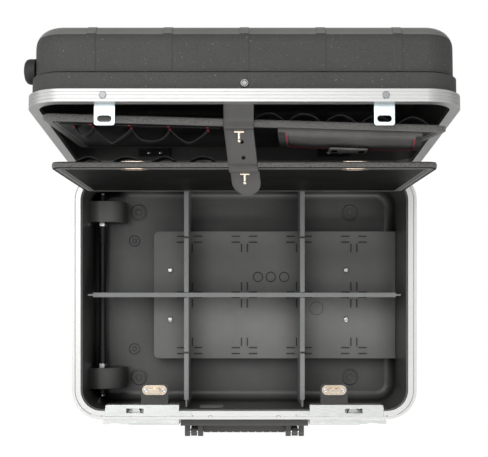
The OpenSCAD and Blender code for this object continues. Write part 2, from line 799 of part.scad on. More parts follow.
module long_divider() {
  low = floor_z + seat;
  over = cover_z + 1;
  axle_room = axle_z + axle_r + 8;
  axle_side = axle_x + axle_r + 10;
  outline = [[-long_end, divider_top], [-long_end, axle_room], [axle_side, axle_room], [axle_side, low],
    [-cover_left - 1, low], [-cover_left - 1, over], [long_end, over], [long_end, divider_top]];
  color("#8f9294") difference() {
    union() {
      translate([0, divider_t / 2, 0]) rotate([90, 0, 0]) linear_extrude(divider_t) polygon(outline);
      span([-long_bar_end, -bar_w / 2, divider_top - bar_h], [long_bar_end, bar_w / 2, divider_top]);
    }
    for (x = [-divider_x, divider_x])
      span([x - divider_t / 2 - gap, -bar_w, 0], [x + divider_t / 2 + gap, bar_w, half_lap + gap]);
  }
}

// Right lock: flange in the rim with a slot for the striker, and the box below it
module lock_housing() {
  flange = [[lock_x0 - 18, lock_y0], [lock_x1, lock_y0], [lock_x1, lock_y1 - 4], [lock_x1 - 4, lock_y1],
    [lock_x0, lock_y1], [lock_x0, -half_d + 10.5], [lock_x0 - 18, -half_d + 10.5]];
  difference() {
    union() {
      translate([0, 0, rim - flange_t]) linear_extrude(flange_t) polygon(flange);
      span([lock_x0 + 1, lock_y0 + gap, rim - lock_box_h], [lock_x1 - 0.4, lock_y1 - 0.7, rim - flange_t]);
    }
    span([lock_x0 + 2.5, lock_y0 + gap + 1.5, rim - lock_box_h + 1.5],
      [lock_x1 - 1.9, lock_y1 - 2.2, rim - flange_t]);
    span([lock_x - lock_slot_w / 2, slot_y0, rim - flange_t - 1],
      [lock_x + lock_slot_w / 2, slot_y1, rim + 1]);
    span([lock_x - nose_w / 2 - 0.4, -half_d, nose_z0 - 0.4],
      [lock_x + nose_w / 2 + 0.4, slot_y0, nose_z0 + nose_h + 0.4]);
  }
}

module lock_housings() {
  color("#d5d9dc") both_sides() lock_housing();
}

// Right lock: base plate on the frame's front face, with a hollow cover over the bolt
module lock_cover() {
  low = rim - lock_box_h - 2;
  high = rim - 5;
  difference() {
    union() {
      span([lock_x0, plate_y0, low], [slider_x1, -half_d - seat, high]);
      span([lock_x0, -half_d - seat - eps, low],
        [slider_x1, -half_d + band_inset - seat, rim - frame_h - seat]);
      span([lock_x0, lock_face, low], [cover_x1, plate_y0 + eps, high]);
      span([stop_x, plate_y0 - 3.6, rim - 21], [stop_x + 1.6, plate_y0 + eps, rim - 17]);
    }
    span([lock_x0 + 1.5, hollow_y, low + 1.5], [cover_x1 + 1, plate_y0, high - 1.5]);
    translate([0, lock_face, high]) rotate([45, 0, 0]) cube([3 * case_w, 2, 2], center = true);
    translate([0, lock_face, low]) rotate([45, 0, 0]) cube([3 * case_w, 2, 2], center = true);
    span([lock_x - nose_w / 2 - 0.4, -half_d - 3, nose_z0 - 0.4],
      [lock_x + nose_w / 2 + 0.4, slot_y0, nose_z0 + nose_h + 0.4]);
  }
}

module lock_covers() {
  color("#dcdfe2") both_sides() lock_cover();
}

// Right lock: thumb piece with a hollow for the spring, and the link plate behind the cover
module lock_slider() {
  low = rim - lock_box_h + 2;
  high = rim - 8;
  face = lock_face + 0.2;
  scoop_r = 34;
  difference() {
    union() {
      span([cover_x1 + gap, face, low], [slider_x1, bolt_back, high]);
      span([lock_x - 6, hollow_y + gap, rim - 26], [cover_x1 + 1, hollow_y + 1.7, rim - 21]);
    }
    translate([cover_x1 + 19, face - scoop_r + 1.5, low - 1])
      cylinder(h = high - low + 2, r = scoop_r, $fn = 128);
    span([pocket_x, bolt_back - 3.8, rim - 22], [slider_x1 - 1.3, bolt_back + 1, rim - 16]);
  }
}

module right_lock_slider() {
  color("#dcdfe2") lock_slider();
}

module left_lock_slider() {
  color("#dcdfe2") mirror([1, 0, 0]) lock_slider();
}

// Right lock: bolt body behind the cover and its nose in the striker's slot
module lock_bolt() {
  half = nose_w / 2;
  taper = 2.2;
  nose = [[-half, bolt_back - eps], [half, bolt_back - eps], [half, slot_y0],
    [half - taper, nose_tip], [taper - half, nose_tip], [-half, slot_y0]];
  span([lock_x - 8.4, bolt_back - bolt_t, nose_z0 - 1.6], [lock_x + 8.4, bolt_back, nose_z0 + nose_h + 1.4]);
  translate([lock_x, 0, nose_z0]) linear_extrude(nose_h) polygon(nose);
}

module right_lock_bolt() {
  color("#c4c8cb") lock_bolt();
}

module left_lock_bolt() {
  color("#c4c8cb") mirror([1, 0, 0]) lock_bolt();
}

module lock_spring() {
  translate([pocket_x + 0.1, bolt_back - 1.9, rim - 19]) rotate([0, 90, 0])
    coil(1.3, 0.3, 6, stop_x - pocket_x - 0.2);
}

module right_lock_spring() {
  color("#b8bcc2") lock_spring();
}

module left_lock_spring() {
  color("#b8bcc2") mirror([1, 0, 0]) lock_spring();
}

module carry_handle_base() {
  front = -half_d - handle_out;
  low = handle_z - 30;
  high = rim - frame_h - 8.5;
  color("#4a4b4c") difference() {
    union() {
      span([-handle_w / 2, front, low], [handle_w / 2, -half_d + band_inset - seat, high]);
      span([-handle_w / 2, front, low],
        [handle_w / 2, -half_d + shell_inset - rib_out - seat, rim - frame_h - band_h - seat]);
      for (s = [-1, 1], e = ear_x) {
        rod_x(min(s * e[0], s * e[1]), max(s * e[0], s * e[1]), handle_y, handle_z, 7.5);
        span([min(s * e[0], s * e[1]), handle_y, handle_z - 7.5],
          [max(s * e[0], s * e[1]), front + eps, handle_z + 7.5]);
      }
    }
    span([-handle_w / 2 + 14, front - 1, low + 6], [handle_w / 2 - 14, front + 5, handle_z - 12]);
    for (s = [-1, 1]) rod_x(s * pin_x - 18, s * pin_x + 18, handle_y, handle_z, handle_pin_r + run);
    translate([0, front, high]) rotate([45, 0, 0]) cube([2 * handle_w, 3, 3], center = true);
  }
}

module carry_handle_pins() {
  color("#b8bcc2") for (s = [-1, 1])
    rod_x(s * pin_x - 13.3, s * pin_x + 13.3, handle_y, handle_z, handle_pin_r);
}

// Grip that hangs from two arms between the ears
module carry_handle_grip() {
  grip_top = handle_z - 12.5;
  grip_low = grip_top - handle_grip_h;
  grip_y0 = handle_y - handle_grip_t / 2 + 2;
  grip_half = knuckle_x[1];
  groove = 1.2;
  color("#38393a") difference() {
    union() {
      for (s = [0, 1]) mirror([s, 0, 0]) {
        rod_x(knuckle_x[0], knuckle_x[1], handle_y, handle_z, knuckle_r);
        span([knuckle_x[0], handle_y - 4.5, grip_low + 4], [knuckle_x[1], handle_y + 4.5, handle_z]);
      }
      translate([0, grip_y0 + handle_grip_t / 2, grip_low])
        block(2 * grip_half, handle_grip_t, handle_grip_h, 3.5);
    }
    for (s = [-1, 1]) rod_x(s * pin_x - 18, s * pin_x + 18, handle_y, handle_z, handle_pin_r + run);
    for (i = [-5.5:1:5.5]) translate([i * handle_groove_pitch, grip_y0, grip_low + handle_grip_h / 2])
      cube([groove, 2 * groove, handle_grip_h + 1], center = true);
  }
}

module turnlock_bracket() {
  back = lock_y1 - 0.4;
  tip = turn_y + 8.7;
  difference() {
    union() {
      span([turn_x - turn_bracket_w / 2, back, turn_z - 2.5], [turn_x + turn_bracket_w / 2, tip - 8, turn_z]);
      translate([turn_x, tip - 10, turn_z - 2.5]) block(turn_bracket_w, 20, 2.5, 6);
      span([turn_x - turn_bracket_w / 2, back, turn_z - 28],
        [turn_x + turn_bracket_w / 2, back + 2.5, turn_z]);
    }
    for (s = [-1, 1]) translate([turn_x + s * 12.8, turn_y, turn_z - 4]) cylinder(h = 8, r = 1.4);
    translate([turn_x, turn_y, turn_z - 4]) cylinder(h = 8, r = 2.5 + run);
  }
}

module turnlock_brackets() {
  color("#5a5b5b") both_sides() turnlock_bracket();
}

module turnlock_plates() {
  color("#d8c9a8") both_sides() translate([turn_x, turn_y, turn_z]) difference() {
    linear_extrude(turn_plate_t) oval(35, 14);
    for (s = [-1, 1]) translate([s * 12.8, 0, -1]) cylinder(h = 4, r = 1.4);
    translate([0, 0, -1]) cylinder(h = 4, r = 2.5 + run);
  }
}

// Turn knob: stem through the plate, and a wing that passes the eyelet or locks across it
module turn_knob() {
  translate([turn_x, turn_y, turn_z - 4.4]) cylinder(h = 1.6, r = 4);
  translate([turn_x, turn_y, turn_z - 4]) cylinder(h = wing_z - turn_z + 5, r = 2.5);
  translate([turn_x, turn_y, turn_z + turn_plate_t + gap]) cylinder(h = 1.6, r = 3.6);
  translate([turn_x, turn_y, wing_z]) linear_extrude(3.6) oval(16, 5.4);
}

module right_turn_knob() {
  color("#d8c9a8") turn_knob();
}

module left_turn_knob() {
  color("#d8c9a8") mirror([1, 0, 0]) turn_knob();
}

// Brackets on the back wall that hold the lower pallet's pins
module lower_pallet_brackets() {
  color("#5a5b5b") both_sides() difference() {
    union() {
      span([lug_x - 20, in_d / 2 - 2.2, lower_z - 24], [lug_x + 20, in_d / 2 - seat, lower_z + 2]);
      for (s = [-1, 1]) {
        rod_x(lug_x + s * 15 - 4, lug_x + s * 15 + 4, lower_y, lower_z, 4);
        span([lug_x + s * 15 - 4, lower_y, lower_z - 4], [lug_x + s * 15 + 4, in_d / 2 - 2, lower_z]);
      }
    }
    rod_x(lug_x - 30, lug_x + 30, lower_y, lower_z, pallet_pin_r + run);
  }
}

// Pair of headed pins on a pallet's axis
module pallet_pins(y, z) {
  for (s = [-1, 1]) {
    rod_x(s * lug_x - 19.6, s * lug_x + 19.6, y, z, pallet_pin_r);
    for (e = [-1, 1]) rod_x(s * lug_x + e * 20 - 0.7, s * lug_x + e * 20 + 0.7, y, z, pallet_pin_r + 1);
  }
}

module lower_pallet_pins() {
  color("#c8cacc") pallet_pins(lower_y, lower_z);
}

// Barrel on a pin with its leaf on the board's back face
module board_hinge() {
  difference() {
    union() {
      rod_x(lug_x - 10, lug_x + 10, 0, 0, 3.8);
      span([lug_x - 10, board_t / 2 - 4.2, 0], [lug_x + 10, board_t / 2 + 1.4, 3.8]);
      span([lug_x - 10, board_t / 2 + seat, 1], [lug_x + 10, board_t / 2 + 1.4, 26]);
    }
    rod_x(lug_x - 30, lug_x + 30, 0, 0, pallet_pin_r + run);
  }
}

module lower_pallet_hinges() {
  color("#5a5b5b") lower_place() both_sides() board_hinge();
}

// Board of width w and length len: upright, its lower edge just above the axis
module board(w, len) {
  low = 4.4;
  rotate([90, 0, 0]) translate([0, 0, -board_t / 2]) difference() {
    translate([0, (low + len) / 2]) linear_extrude(board_t) rounded(w, len - low, board_r);
    translate([0, (low + len) / 2, -1]) linear_extrude(2) difference() {
      rounded(w - 22, len - low - 22, board_r - 6);
      rounded(w - 24, len - low - 24, board_r - 7);
    }
  }
}

module lower_pallet_board() {
  color("#2f2d2a") lower_place() difference() {
    board(lower_w, lower_len);
    for (s = [-1, 1]) translate([s * turn_x, 10, lower_len - eyelet_edge]) rotate([90, 0, 0])
      linear_extrude(20) oval(26, 14);
  }
}

module lower_pallet_eyelets() {
  color("#d8c9a8") lower_place() for (s = [-1, 1]) translate([s * turn_x, 0, lower_len - eyelet_edge])
    rotate([90, 0, 0]) difference() {
      union() {
        translate([0, 0, -board_t / 2]) linear_extrude(board_t) oval(26 - 2 * seat, 14 - 2 * seat);
        for (e = [0, 1]) mirror([0, 0, e]) translate([0, 0, board_t / 2]) linear_extrude(0.8) oval(33, 17.5);
      }
      translate([0, 0, -20]) linear_extrude(40) oval(21, 9.4);
    }
}

// Row of elastic loops on a board's face at y = 0: an arch of width pitch for each centre
module tool_loops(centres, w, out, h) {
  r = (w * w / 4 + out * out) / (2 * out);
  for (x = centres) translate([x, out - r, 0]) intersection() {
    difference() {
      cylinder(h = h, r = r, $fn = 128);
      translate([0, 0, -1]) cylinder(h = h + 2, r = r - loop_t, $fn = 128);
    }
    translate([-w, r - out, -1]) cube([2 * w, 2 * r, h + 2]);
  }
}

module lower_tool_loops() {
  color("#262523") lower_place() translate([0, board_t / 2 + seat, lower_len - eyelet_edge - loop_h - 10])
    tool_loops([for (i = [0:3]) 41 - lower_w / 2 + loop_pitch * i], loop_pitch - 10, 8, loop_h);
}

// Turn stud: foot on the board's front face, shank, cross bar and ball
module stud(x, z) {
  face = -board_t / 2;
  bar_y = -strap_face - strap_t / 2 - gap;
  translate([x, 0, z]) {
    rod_y(0, face - stud_foot - seat, face - seat, 0, 6);
    rod_y(0, bar_y - 11.6, face - 1, 0, 1.8);
    translate([-5.5, bar_y - 2.6, -1.8]) cube([11, 2.6, 3.6]);
    translate([0, bar_y - 11.6, 0]) sphere(r = 2.4, $fn = 32);
  }
}

module lower_pallet_stud() {
  color("#d8c9a8") lower_place() stud(0.6, lower_len - eyelet_edge);
}

// Upper pallet: brackets on the lid's hinge side wall
module upper_pallet_brackets() {
  ear = 4;
  wall_y = lid_in_d / 2 - seat;
  color("#1f1f1f") open_lid() both_sides() difference() {
    union() {
      span([lug_x - 22, wall_y - 2, upper_z - 14], [lug_x + 22, wall_y, upper_z + 12]);
      for (s = [-1, 1]) {
        rod_x(lug_x + s * 15 - 4, lug_x + s * 15 + 4, upper_y, upper_z, ear);
        span([lug_x + s * 15 - 4, upper_y, upper_z - ear], [lug_x + s * 15 + 4, wall_y - 1, upper_z + ear]);
      }
    }
    rod_x(lug_x - 30, lug_x + 30, upper_y, upper_z, pallet_pin_r + run);
  }
}

module upper_pallet_pins() {
  color("#c8cacc") open_lid() pallet_pins(upper_y, upper_z);
}

module upper_pallet_hinges() {
  color("#5a5b5b") upper_place() both_sides() board_hinge();
}

module upper_pallet_board() {
  color("#2f2d2a") upper_place() board(upper_w, upper_len);
}

module upper_tool_loops() {
  first = 28.7 - upper_w / 2;
  half = loop_pitch / 2;
  color("#262523") upper_place() {
    translate([0, -board_t / 2 - seat, upper_len - loop_h - 50]) mirror([0, 1, 0]) {
      tool_loops([first + half / 2], half, loop_out - 3, loop_h);
      tool_loops([for (i = [0:2]) first + half + loop_pitch * (i + 0.5)], loop_pitch, loop_out, loop_h);
    }
    translate([0, board_t / 2 + seat, upper_len - loop_h - 10])
      tool_loops([for (i = [0:4]) upper_w / 2 - 201 + (loop_pitch - 4) * i], loop_pitch - 10, loop_out - 3, loop_h);
  }
}

// Closed document pouch, thicker towards the edge of its flap, with a clasp on the flap
module document_pouch() {
  pouch_x = upper_w / 2 - 107;
  pouch_w = 164;
  pouch_h = 160;
  flap_h = 78;
  flap_t = 2;
  deep = 16.4;
  front = deep + flap_t;
  clasp = [48, 4.2, 20];
  body = [[0, -2], [-5, -2], [-deep, 6 - flap_h], [-deep, -flap_h - 8], [-7, 4 - pouch_h], [-4, -pouch_h], [0, -pouch_h]];
  flap = [[0, 0], [-5, 0], [-7.4, -1.4], [-front, 7 - flap_h], [-front, 1 - flap_h], [1 - front, -flap_h],
    [eps - deep, -flap_h], [eps - deep, 6 - flap_h], [-5, -2 - eps], [0, -2 - eps]];
  plate = [[1, 0], [-0.8, 0], [-clasp[1], 3 - clasp[2]], [-clasp[1], 1 - clasp[2]], [1 - clasp[1], -clasp[2]],
    [1, -clasp[2]]];
  color("#2c2b29") upper_place() translate([pouch_x, -board_t / 2 - seat, upper_len - 10]) {
    pouch_layer(body, pouch_w - 6, pouch_h, 8);
    pouch_layer(flap, pouch_w, flap_h, 12);
    translate([8, -front + 0.2, clasp[2] - 1.5 - flap_h]) pouch_layer(plate, clasp[0], clasp[2], 1.5);
  }
}

// Side profile drawn out along X to the width w, its face trimmed to a rounded outline of height h
module pouch_layer(profile, w, h, r) {
  intersection() {
    rotate([90, 0, 90]) translate([0, 0, -w / 2]) linear_extrude(w) polygon(profile);
    rotate([90, 0, 0]) linear_extrude(60, center = true) translate([0, -h / 2]) rounded(w, h, r);
  }
}

module upper_pallet_stud() {
  color("#d8c9a8") upper_place() stud(-6, upper_len - stud_drop);
}

module lid_shell() {
  low = mate + frame_web;
  color("#4f4f4d") open_lid() difference() {
    union() {
      translate([0, 0, lid_top]) mirror([0, 0, 1])
        soft_box(lid_w, lid_d, lid_top - low, lid_r, lid_edge_r);
      translate([0, 0, low]) block(band_w, band_d, frame_h + band_h - frame_web, band_r);
      for (i = [-2:2]) translate([i * rib_pitch - rib_w / 2, 0, lid_top + rib_out]) mirror([0, 0, 1])
        rotate([90, 0, 90]) linear_extrude(rib_w)
          soft_side(lid_d + 2 * rib_out, lid_top + rib_out - step_z - 2, lid_edge_r + rib_out);
    }
    translate([0, 0, lid_top - wall]) mirror([0, 0, 1])
      soft_box(lid_in_w, lid_in_d, lid_h, lid_in_r, lid_edge_r - wall);
    band_groove(step_z - eps, lid_w, lid_d, lid_r);
    both_sides() span([lock_x - striker_w / 2 - seat, -half_d + frame_wall, low - 1],
      [lock_x + striker_w / 2 + seat, -lid_in_d / 2 + 1, mate + frame_h]);
    rod_y(0, -half_d, 0, bolt_z, 3);
  }
}

module lid_frame() {
  color("#e4e6e8") open_lid() difference() {
    translate([0, 0, mate + frame_h]) mirror([0, 0, 1]) frame_ring();
    both_sides() {
      span([lock_x - striker_w / 2 - seat, striker_y - striker_t / 2 - seat, mate - 1],
        [lock_x + striker_w / 2 + seat, -half_d + frame_w + 1, mate + frame_web + 1]);
      rod_y(lock_x + 0.7, -half_d - 1, -half_d + frame_w, rivet_z, 2.2);
    }
  }
}

// Slotted plates that drop into the locks, each on a block behind the frame
module lid_strikers() {
  low = mate - striker_reach;
  color("#dde3e8") open_lid() both_sides() difference() {
    union() {
      translate([lock_x, striker_y + striker_t / 2, low]) rotate([90, 0, 0]) linear_extrude(striker_t) {
        translate([0, striker_w / 2]) rounded(striker_w, striker_w, 3);
        translate([-striker_w / 2, 4]) square([striker_w, striker_reach + frame_h - 6]);
      }
      span([lock_x - striker_w / 2, -half_d + frame_wall + seat, mate + frame_web + seat],
        [lock_x + striker_w / 2, striker_y, mate + frame_h - 2]);
    }
    translate([lock_x, 0, striker_slot_z]) rotate([90, 0, 0]) linear_extrude(half_d) oval(16.3, 7.5);
    rod_y(lock_x + 0.7, -half_d, striker_y - 1.2, rivet_z, 2);
  }
}

// Rivet heads on the frame and the dark bolt that holds the strap, with its nut
module lid_rivets() {
  nut_y = strap_y + strap_t / 2 + seat;
  color("#77797b") open_lid() {
    for (x = [-lock_x - 0.7, lock_x + 0.7]) {
      rod_y(x, -half_d - 1.2, -half_d - eps, rivet_z, 3.6);
      rod_y(x, -half_d - 1, striker_y - 1.3, rivet_z, 1.9);
    }
    rod_y(0, -half_d + band_inset - 2, -half_d + band_inset - eps, bolt_z, 4.2);
    rod_y(0, -half_d + band_inset - 1, nut_y + 3, bolt_z, 2.4);
    rod_y(0, nut_y, nut_y + 3, bolt_z, 4.6);
  }
}

// Round domes the closed case stands on when it is tipped up on its wheels
module lid_stand_feet() {
  reach = 13.5;
  color("#242424") open_lid() difference() {
    for (y = [-half_d + corner_r + 2, half_d - corner_r - 2])
      translate([-lid_w / 2 - seat / 2, y, step_z + 12]) rotate([0, -90, 0]) rotate_extrude()
        polygon([[0, 0], [14.5, 0], [14.5, 7.2], [13.4, 10.2], [10.5, 12.4], [6, reach], [0, reach]]);
    span([-band_w / 2 - seat / 2, -half_d, mate], [0, half_d, step_z + seat]);
  }
}

// Distance along a list of points up to point i
function along(points, i) = i == 0 ? 0 : along(points, i - 1) + norm(points[i] - points[i - 1]);

// Flat strap swept along the side view points: straight down the lid, then drifting to the right
module retaining_strap() {
  points = concat(strap_upper, strap_lower);
  last = len(points) - 1;
  bend = len(strap_upper) - 1;
  total = along(points, last);
  drift = 10.5;
  start_x = -6.5;
  to_bend = along(points, bend);
  centre = [for (i = [0:last])
    start_x + drift * max(0, along(points, i) - to_bend) / (total - to_bend)];
  half = [for (i = [0:last]) let (left = total - along(points, i), r = strap_w / 2)
    left >= r ? r : max(1.5, sqrt(r * r - (r - left) * (r - left)))];
  normal = [for (i = [0:last])
    let (a = points[max(i - 1, 0)], b = points[min(i + 1, last)], d = (b - a) / norm(b - a)) [-d[1], d[0]]];
  corners = [for (i = [0:last], c = [[-1, -1], [1, -1], [1, 1], [-1, 1]])
    [centre[i] + c[0] * half[i], points[i][0] + c[1] * normal[i][0] * strap_t / 2,
      points[i][1] + c[1] * normal[i][1] * strap_t / 2]];
  skin = [for (i = [0:last - 1], j = [0:3]) let (k = (j + 1) % 4, a = 4 * i, b = 4 * (i + 1))
    each [[a + j, b + k, b + j], [a + j, a + k, b + k]]];
  tip = 4 * last;
  ends = [[0, 2, 1], [0, 3, 2], [tip, tip + 1, tip + 2], [tip, tip + 2, tip + 3]];
  color("#33302e") difference() {
    polyhedron(corners, concat(skin, ends), convexity = 8);
    open_lid() rod_y(0, -half_d, 0, bolt_z, 2.6);
    upper_place() translate([-6, 0, upper_len - stud_drop]) stud_hole();
    lower_place() translate([0.6, 0, lower_len - eyelet_edge]) stud_hole();
    for (t = [0.33, 0.75]) {
      p = points[bend] + t * (points[bend + 1] - points[bend]);
      translate([start_x + 2 * t, p[0], p[1]]) cylinder(h = 20, r = 2.35, center = true);
    }
  }
}

// Slit in the strap that a stud's shank comes through
module stud_hole() {
  rotate([90, 0, 0]) linear_extrude(30) oval(8, 5);
}

module front_wheel_hub() {
  color("#3a3a3a") translate([axle_x, -wheel_y, axle_z]) wheel_hub();
}

module rear_wheel_hub() {
  color("#3a3a3a") translate([axle_x, wheel_y, axle_z]) wheel_hub();
}

module front_wheel_tyre() {
  color("#1c1c1c") translate([axle_x, -wheel_y, axle_z]) wheel_tyre();
}

module rear_wheel_tyre() {
  color("#1c1c1c") translate([axle_x, wheel_y, axle_z]) wheel_tyre();
}

// Wheel hub with its axle along Y: boss, web with holes, and rim
module wheel_hub() {
  rim_r = wheel_r - tyre_t;
  half = wheel_w / 2;
  rotate([90, 0, 0]) difference() {
    rotate_extrude() polygon([[axle_r + run, -half], [axle_r + 5, -half], [axle_r + 5, -3], [rim_r - 3, -3],
      [rim_r - 3, -half + 1.5], [rim_r, -half + 1.5], [rim_r, half - 1.5], [rim_r - 3, half - 1.5],
      [rim_r - 3, 3], [axle_r + 5, 3], [axle_r + 5, half], [axle_r + run, half]]);
    for (i = [0:5]) rotate([0, 0, 60 * i]) translate([(axle_r + rim_r + 2) / 2, 0, -half])
      cylinder(h = wheel_w, r = 3.4);
  }
}

module wheel_tyre() {
  bore = wheel_r - tyre_t + 0.1;
  half = wheel_w / 2;
  rotate([90, 0, 0]) rotate_extrude() polygon([[bore, -half + 1], [wheel_r - 3, -half + 1],
    [wheel_r, -half + 4], [wheel_r, half - 4], [wheel_r - 3, half - 1], [bore, half - 1]]);
}

base_shell();
base_frame();
base_feet();
hinge_base_leaves();
hinge_pins();
wheel_axle();
axle_spacers();
axle_nuts();
trolley_cover();
base_screws();
trolley_outer_tubes();
trolley_bezel();
long_divider();
left_cross_divider();
right_cross_divider();
lock_housings();
lock_covers();
left_lock_spring();
right_lock_spring();
carry_handle_base();
carry_handle_pins();
turnlock_brackets();
turnlock_plates();
lower_pallet_brackets();
front_wheel_hub();
front_wheel_tyre();
rear_wheel_hub();
rear_wheel_tyre();
trolley_middle_tubes();
trolley_inner_tubes();
trolley_grip();
trolley_button();
trolley_button_spring();
left_lock_slider();
right_lock_slider();
left_lock_bolt();
right_lock_bolt();
carry_handle_grip();
left_turn_knob();
right_turn_knob();
lid_shell();
lid_frame();
hinge_lid_leaves();
lid_strikers();
lid_rivets();
lid_stand_feet();
retaining_strap();
upper_pallet_brackets();
upper_pallet_pins();
upper_pallet_board();
upper_pallet_hinges();
upper_tool_loops();
document_pouch();
upper_pallet_stud();
lower_pallet_pins();
lower_pallet_board();
lower_pallet_hinges();
lower_pallet_eyelets();
lower_tool_loops();
lower_pallet_stud();
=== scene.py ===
import json
import math

import bmesh
import bpy
from bpy.props import FloatProperty, FloatVectorProperty, PointerProperty
from mathutils import Matrix, Vector


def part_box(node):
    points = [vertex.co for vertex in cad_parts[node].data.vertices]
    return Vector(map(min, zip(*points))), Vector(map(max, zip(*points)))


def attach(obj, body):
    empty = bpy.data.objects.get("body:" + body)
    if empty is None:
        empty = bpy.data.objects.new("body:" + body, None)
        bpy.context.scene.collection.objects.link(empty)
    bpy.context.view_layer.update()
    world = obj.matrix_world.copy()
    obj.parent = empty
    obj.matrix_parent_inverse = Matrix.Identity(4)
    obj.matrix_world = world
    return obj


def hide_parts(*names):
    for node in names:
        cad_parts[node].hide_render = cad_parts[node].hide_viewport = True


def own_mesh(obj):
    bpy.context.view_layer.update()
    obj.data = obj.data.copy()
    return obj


bl_info = {
    "name": "Hard Tool Case",
    "version": (1, 0, 0),
    "blender": (4, 5, 0),
    "location": "View3D > Sidebar > Tool Case",
    "description": "Finishes, soft pieces and small hardware of an open tool case",
    "category": "Object",
}

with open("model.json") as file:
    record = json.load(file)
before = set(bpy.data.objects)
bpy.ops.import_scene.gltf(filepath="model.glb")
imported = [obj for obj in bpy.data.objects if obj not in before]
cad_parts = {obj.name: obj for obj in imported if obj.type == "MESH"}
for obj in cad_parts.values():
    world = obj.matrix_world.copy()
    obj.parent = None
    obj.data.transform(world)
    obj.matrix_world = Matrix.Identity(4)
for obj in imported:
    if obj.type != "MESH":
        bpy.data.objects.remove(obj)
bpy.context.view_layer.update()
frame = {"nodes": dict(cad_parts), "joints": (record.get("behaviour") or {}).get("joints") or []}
NODES = frame["nodes"]
JOINTS = {joint["name"]: joint for joint in frame["joints"]}
MM = 0.001


def at(x, y, z):
    return Matrix.Translation((x, y, z))


def turned(degrees, axis="X"):
    return Matrix.Rotation(math.radians(degrees), 4, axis)


# The lid's hinge and the turn that opens it
HINGE = Vector(JOINTS["lid_hinge"]["pos_m"])
LID_OPEN = math.radians(JOINTS["lid_hinge"]["range_deg"][1])
OPENING = at(*HINGE) @ Matrix.Rotation(-LID_OPEN, 4, "X") @ at(*-HINGE)
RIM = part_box("base_frame")[1].z
FLOOR = RIM - 0.150
COVER_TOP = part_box("trolley_cover")[1].z - 0.8 * MM
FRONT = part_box("base_frame")[0].y
CASE_HALF_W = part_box("base_frame")[1].x
WALL = FRONT + 12 * MM

# Each pallet's own axes: X across, Y to its back, Z up the board, from its pin
LOWER_AXIS = Vector(JOINTS["lower_pallet_fold"]["pos_m"])
UPPER_AXIS = Vector(JOINTS["upper_pallet_fold"]["pos_m"])


def face_turn(node):
    """Angle by which a board leans forward, from its largest face."""
    largest = max(NODES[node].data.polygons, key=lambda face: face.area)
    normal = largest.normal if largest.normal.y < 0 else -largest.normal
    return math.atan2(-normal.z, -normal.y)


LOWER_PLACE = at(*LOWER_AXIS)
UPPER_PLACE = at(*UPPER_AXIS) @ Matrix.Rotation(face_turn("upper_pallet_board"), 4, "X")


# Sizes and colours that a user may change

def length(name, description, default, low, high):
    """Length property, given in millimetres."""
    return FloatProperty(name=name, description=description, default=default * MM, min=low * MM,
                         max=high * MM, unit="LENGTH")


def tint(name, description, value):
    """Colour property with the settings that all of them share."""
    return FloatVectorProperty(
        name=name, description=description, subtype="COLOR", size=3, min=0, max=1, default=value)


class CaseSizes(bpy.types.PropertyGroup):
    """Sizes of the soft pieces and of the small hardware."""

    binding_in: length("Binding width", "Width of the edge binding on a board's face", 13, 6, 20)
    binding_puff: length("Binding puff", "How far the binding stands off the board", 0.4, 0, 2)
    board_twist: length("Board twist", "How far the upper board's left corner leans back", 7, 0, 9)
    loop_depth: length("Loop depth", "How far a slack tool loop stands off its board", 15, 6, 20)
    elastic: length("Elastic thickness", "Thickness of the elastic of the tool loops", 1, 0.6, 2)
    stitch_len: length("Stitch length", "Length of one stitch", 2.6, 1, 5)
    stitch_gap: length("Stitch gap", "Gap between two stitches", 1.1, 0.3, 4)
    thread: length("Thread thickness", "Thickness of the sewing thread", 0.8, 0.3, 1.2)
    strap_w: length("Strap width", "Width of the retaining strap", 34, 20, 40)
    strap_t: length("Strap thickness", "Thickness of the retaining strap", 2.5, 1.5, 3.5)


class CaseColours(bpy.types.PropertyGroup):
    """Linear colours of the finishes."""

    shell: tint("Shell", "Grained plastic of the outside", (0.057, 0.057, 0.054))
    inside: tint("Inside", "Smoother plastic of the inside", (0.250, 0.248, 0.240))
    frame: tint("Frame", "Aluminium of the frames", (0.74, 0.74, 0.73))
    zinc: tint("Zinc", "Plated steel of the locks", (0.84, 0.86, 0.84))
    bluish: tint("Bluish zinc", "Plated steel of the striker plates", (0.70, 0.80, 0.84))
    nickel: tint("Nickel", "Warm plate of the studs, eyelets and turn locks", (0.86, 0.74, 0.60))
    bracket: tint("Bracket", "Grey coat of the brackets", (0.090, 0.090, 0.088))
    divider: tint("Divider", "Grey plastic of the dividers", (0.30, 0.305, 0.305))
    vinyl: tint("Vinyl", "Covering of the boards", (0.0022, 0.0020, 0.0018))
    binding: tint("Binding", "Pebbled edge binding", (0.155, 0.152, 0.144))
    red: tint("Red thread", "Contrast stitching", (0.72, 0.07, 0.10))
    label: tint("Label", "Blank film on the front wall", (0.46, 0.46, 0.45))


def sizes():
    return bpy.context.scene.case_sizes


def colours():
    return bpy.context.scene.case_colours


# Finishes

def shade(colour, factor):
    return tuple(min(1.0, part * factor) for part in colour)


def add(tree, kind, inputs=None, **settings):
    """New shader node with its settings, its inputs set or linked."""
    node = tree.nodes.new("ShaderNode" + kind)
    for key, value in settings.items():
        setattr(node, key, value)
    for key, value in (inputs or {}).items():
        if isinstance(value, bpy.types.NodeSocket):
            tree.links.new(value, node.inputs[key])
        else:
            node.inputs[key].default_value = value
    return node


def math_node(tree, kind, first, second=0.0):
    return add(tree, "Math", {0: first, 1: second}, operation=kind).outputs[0]


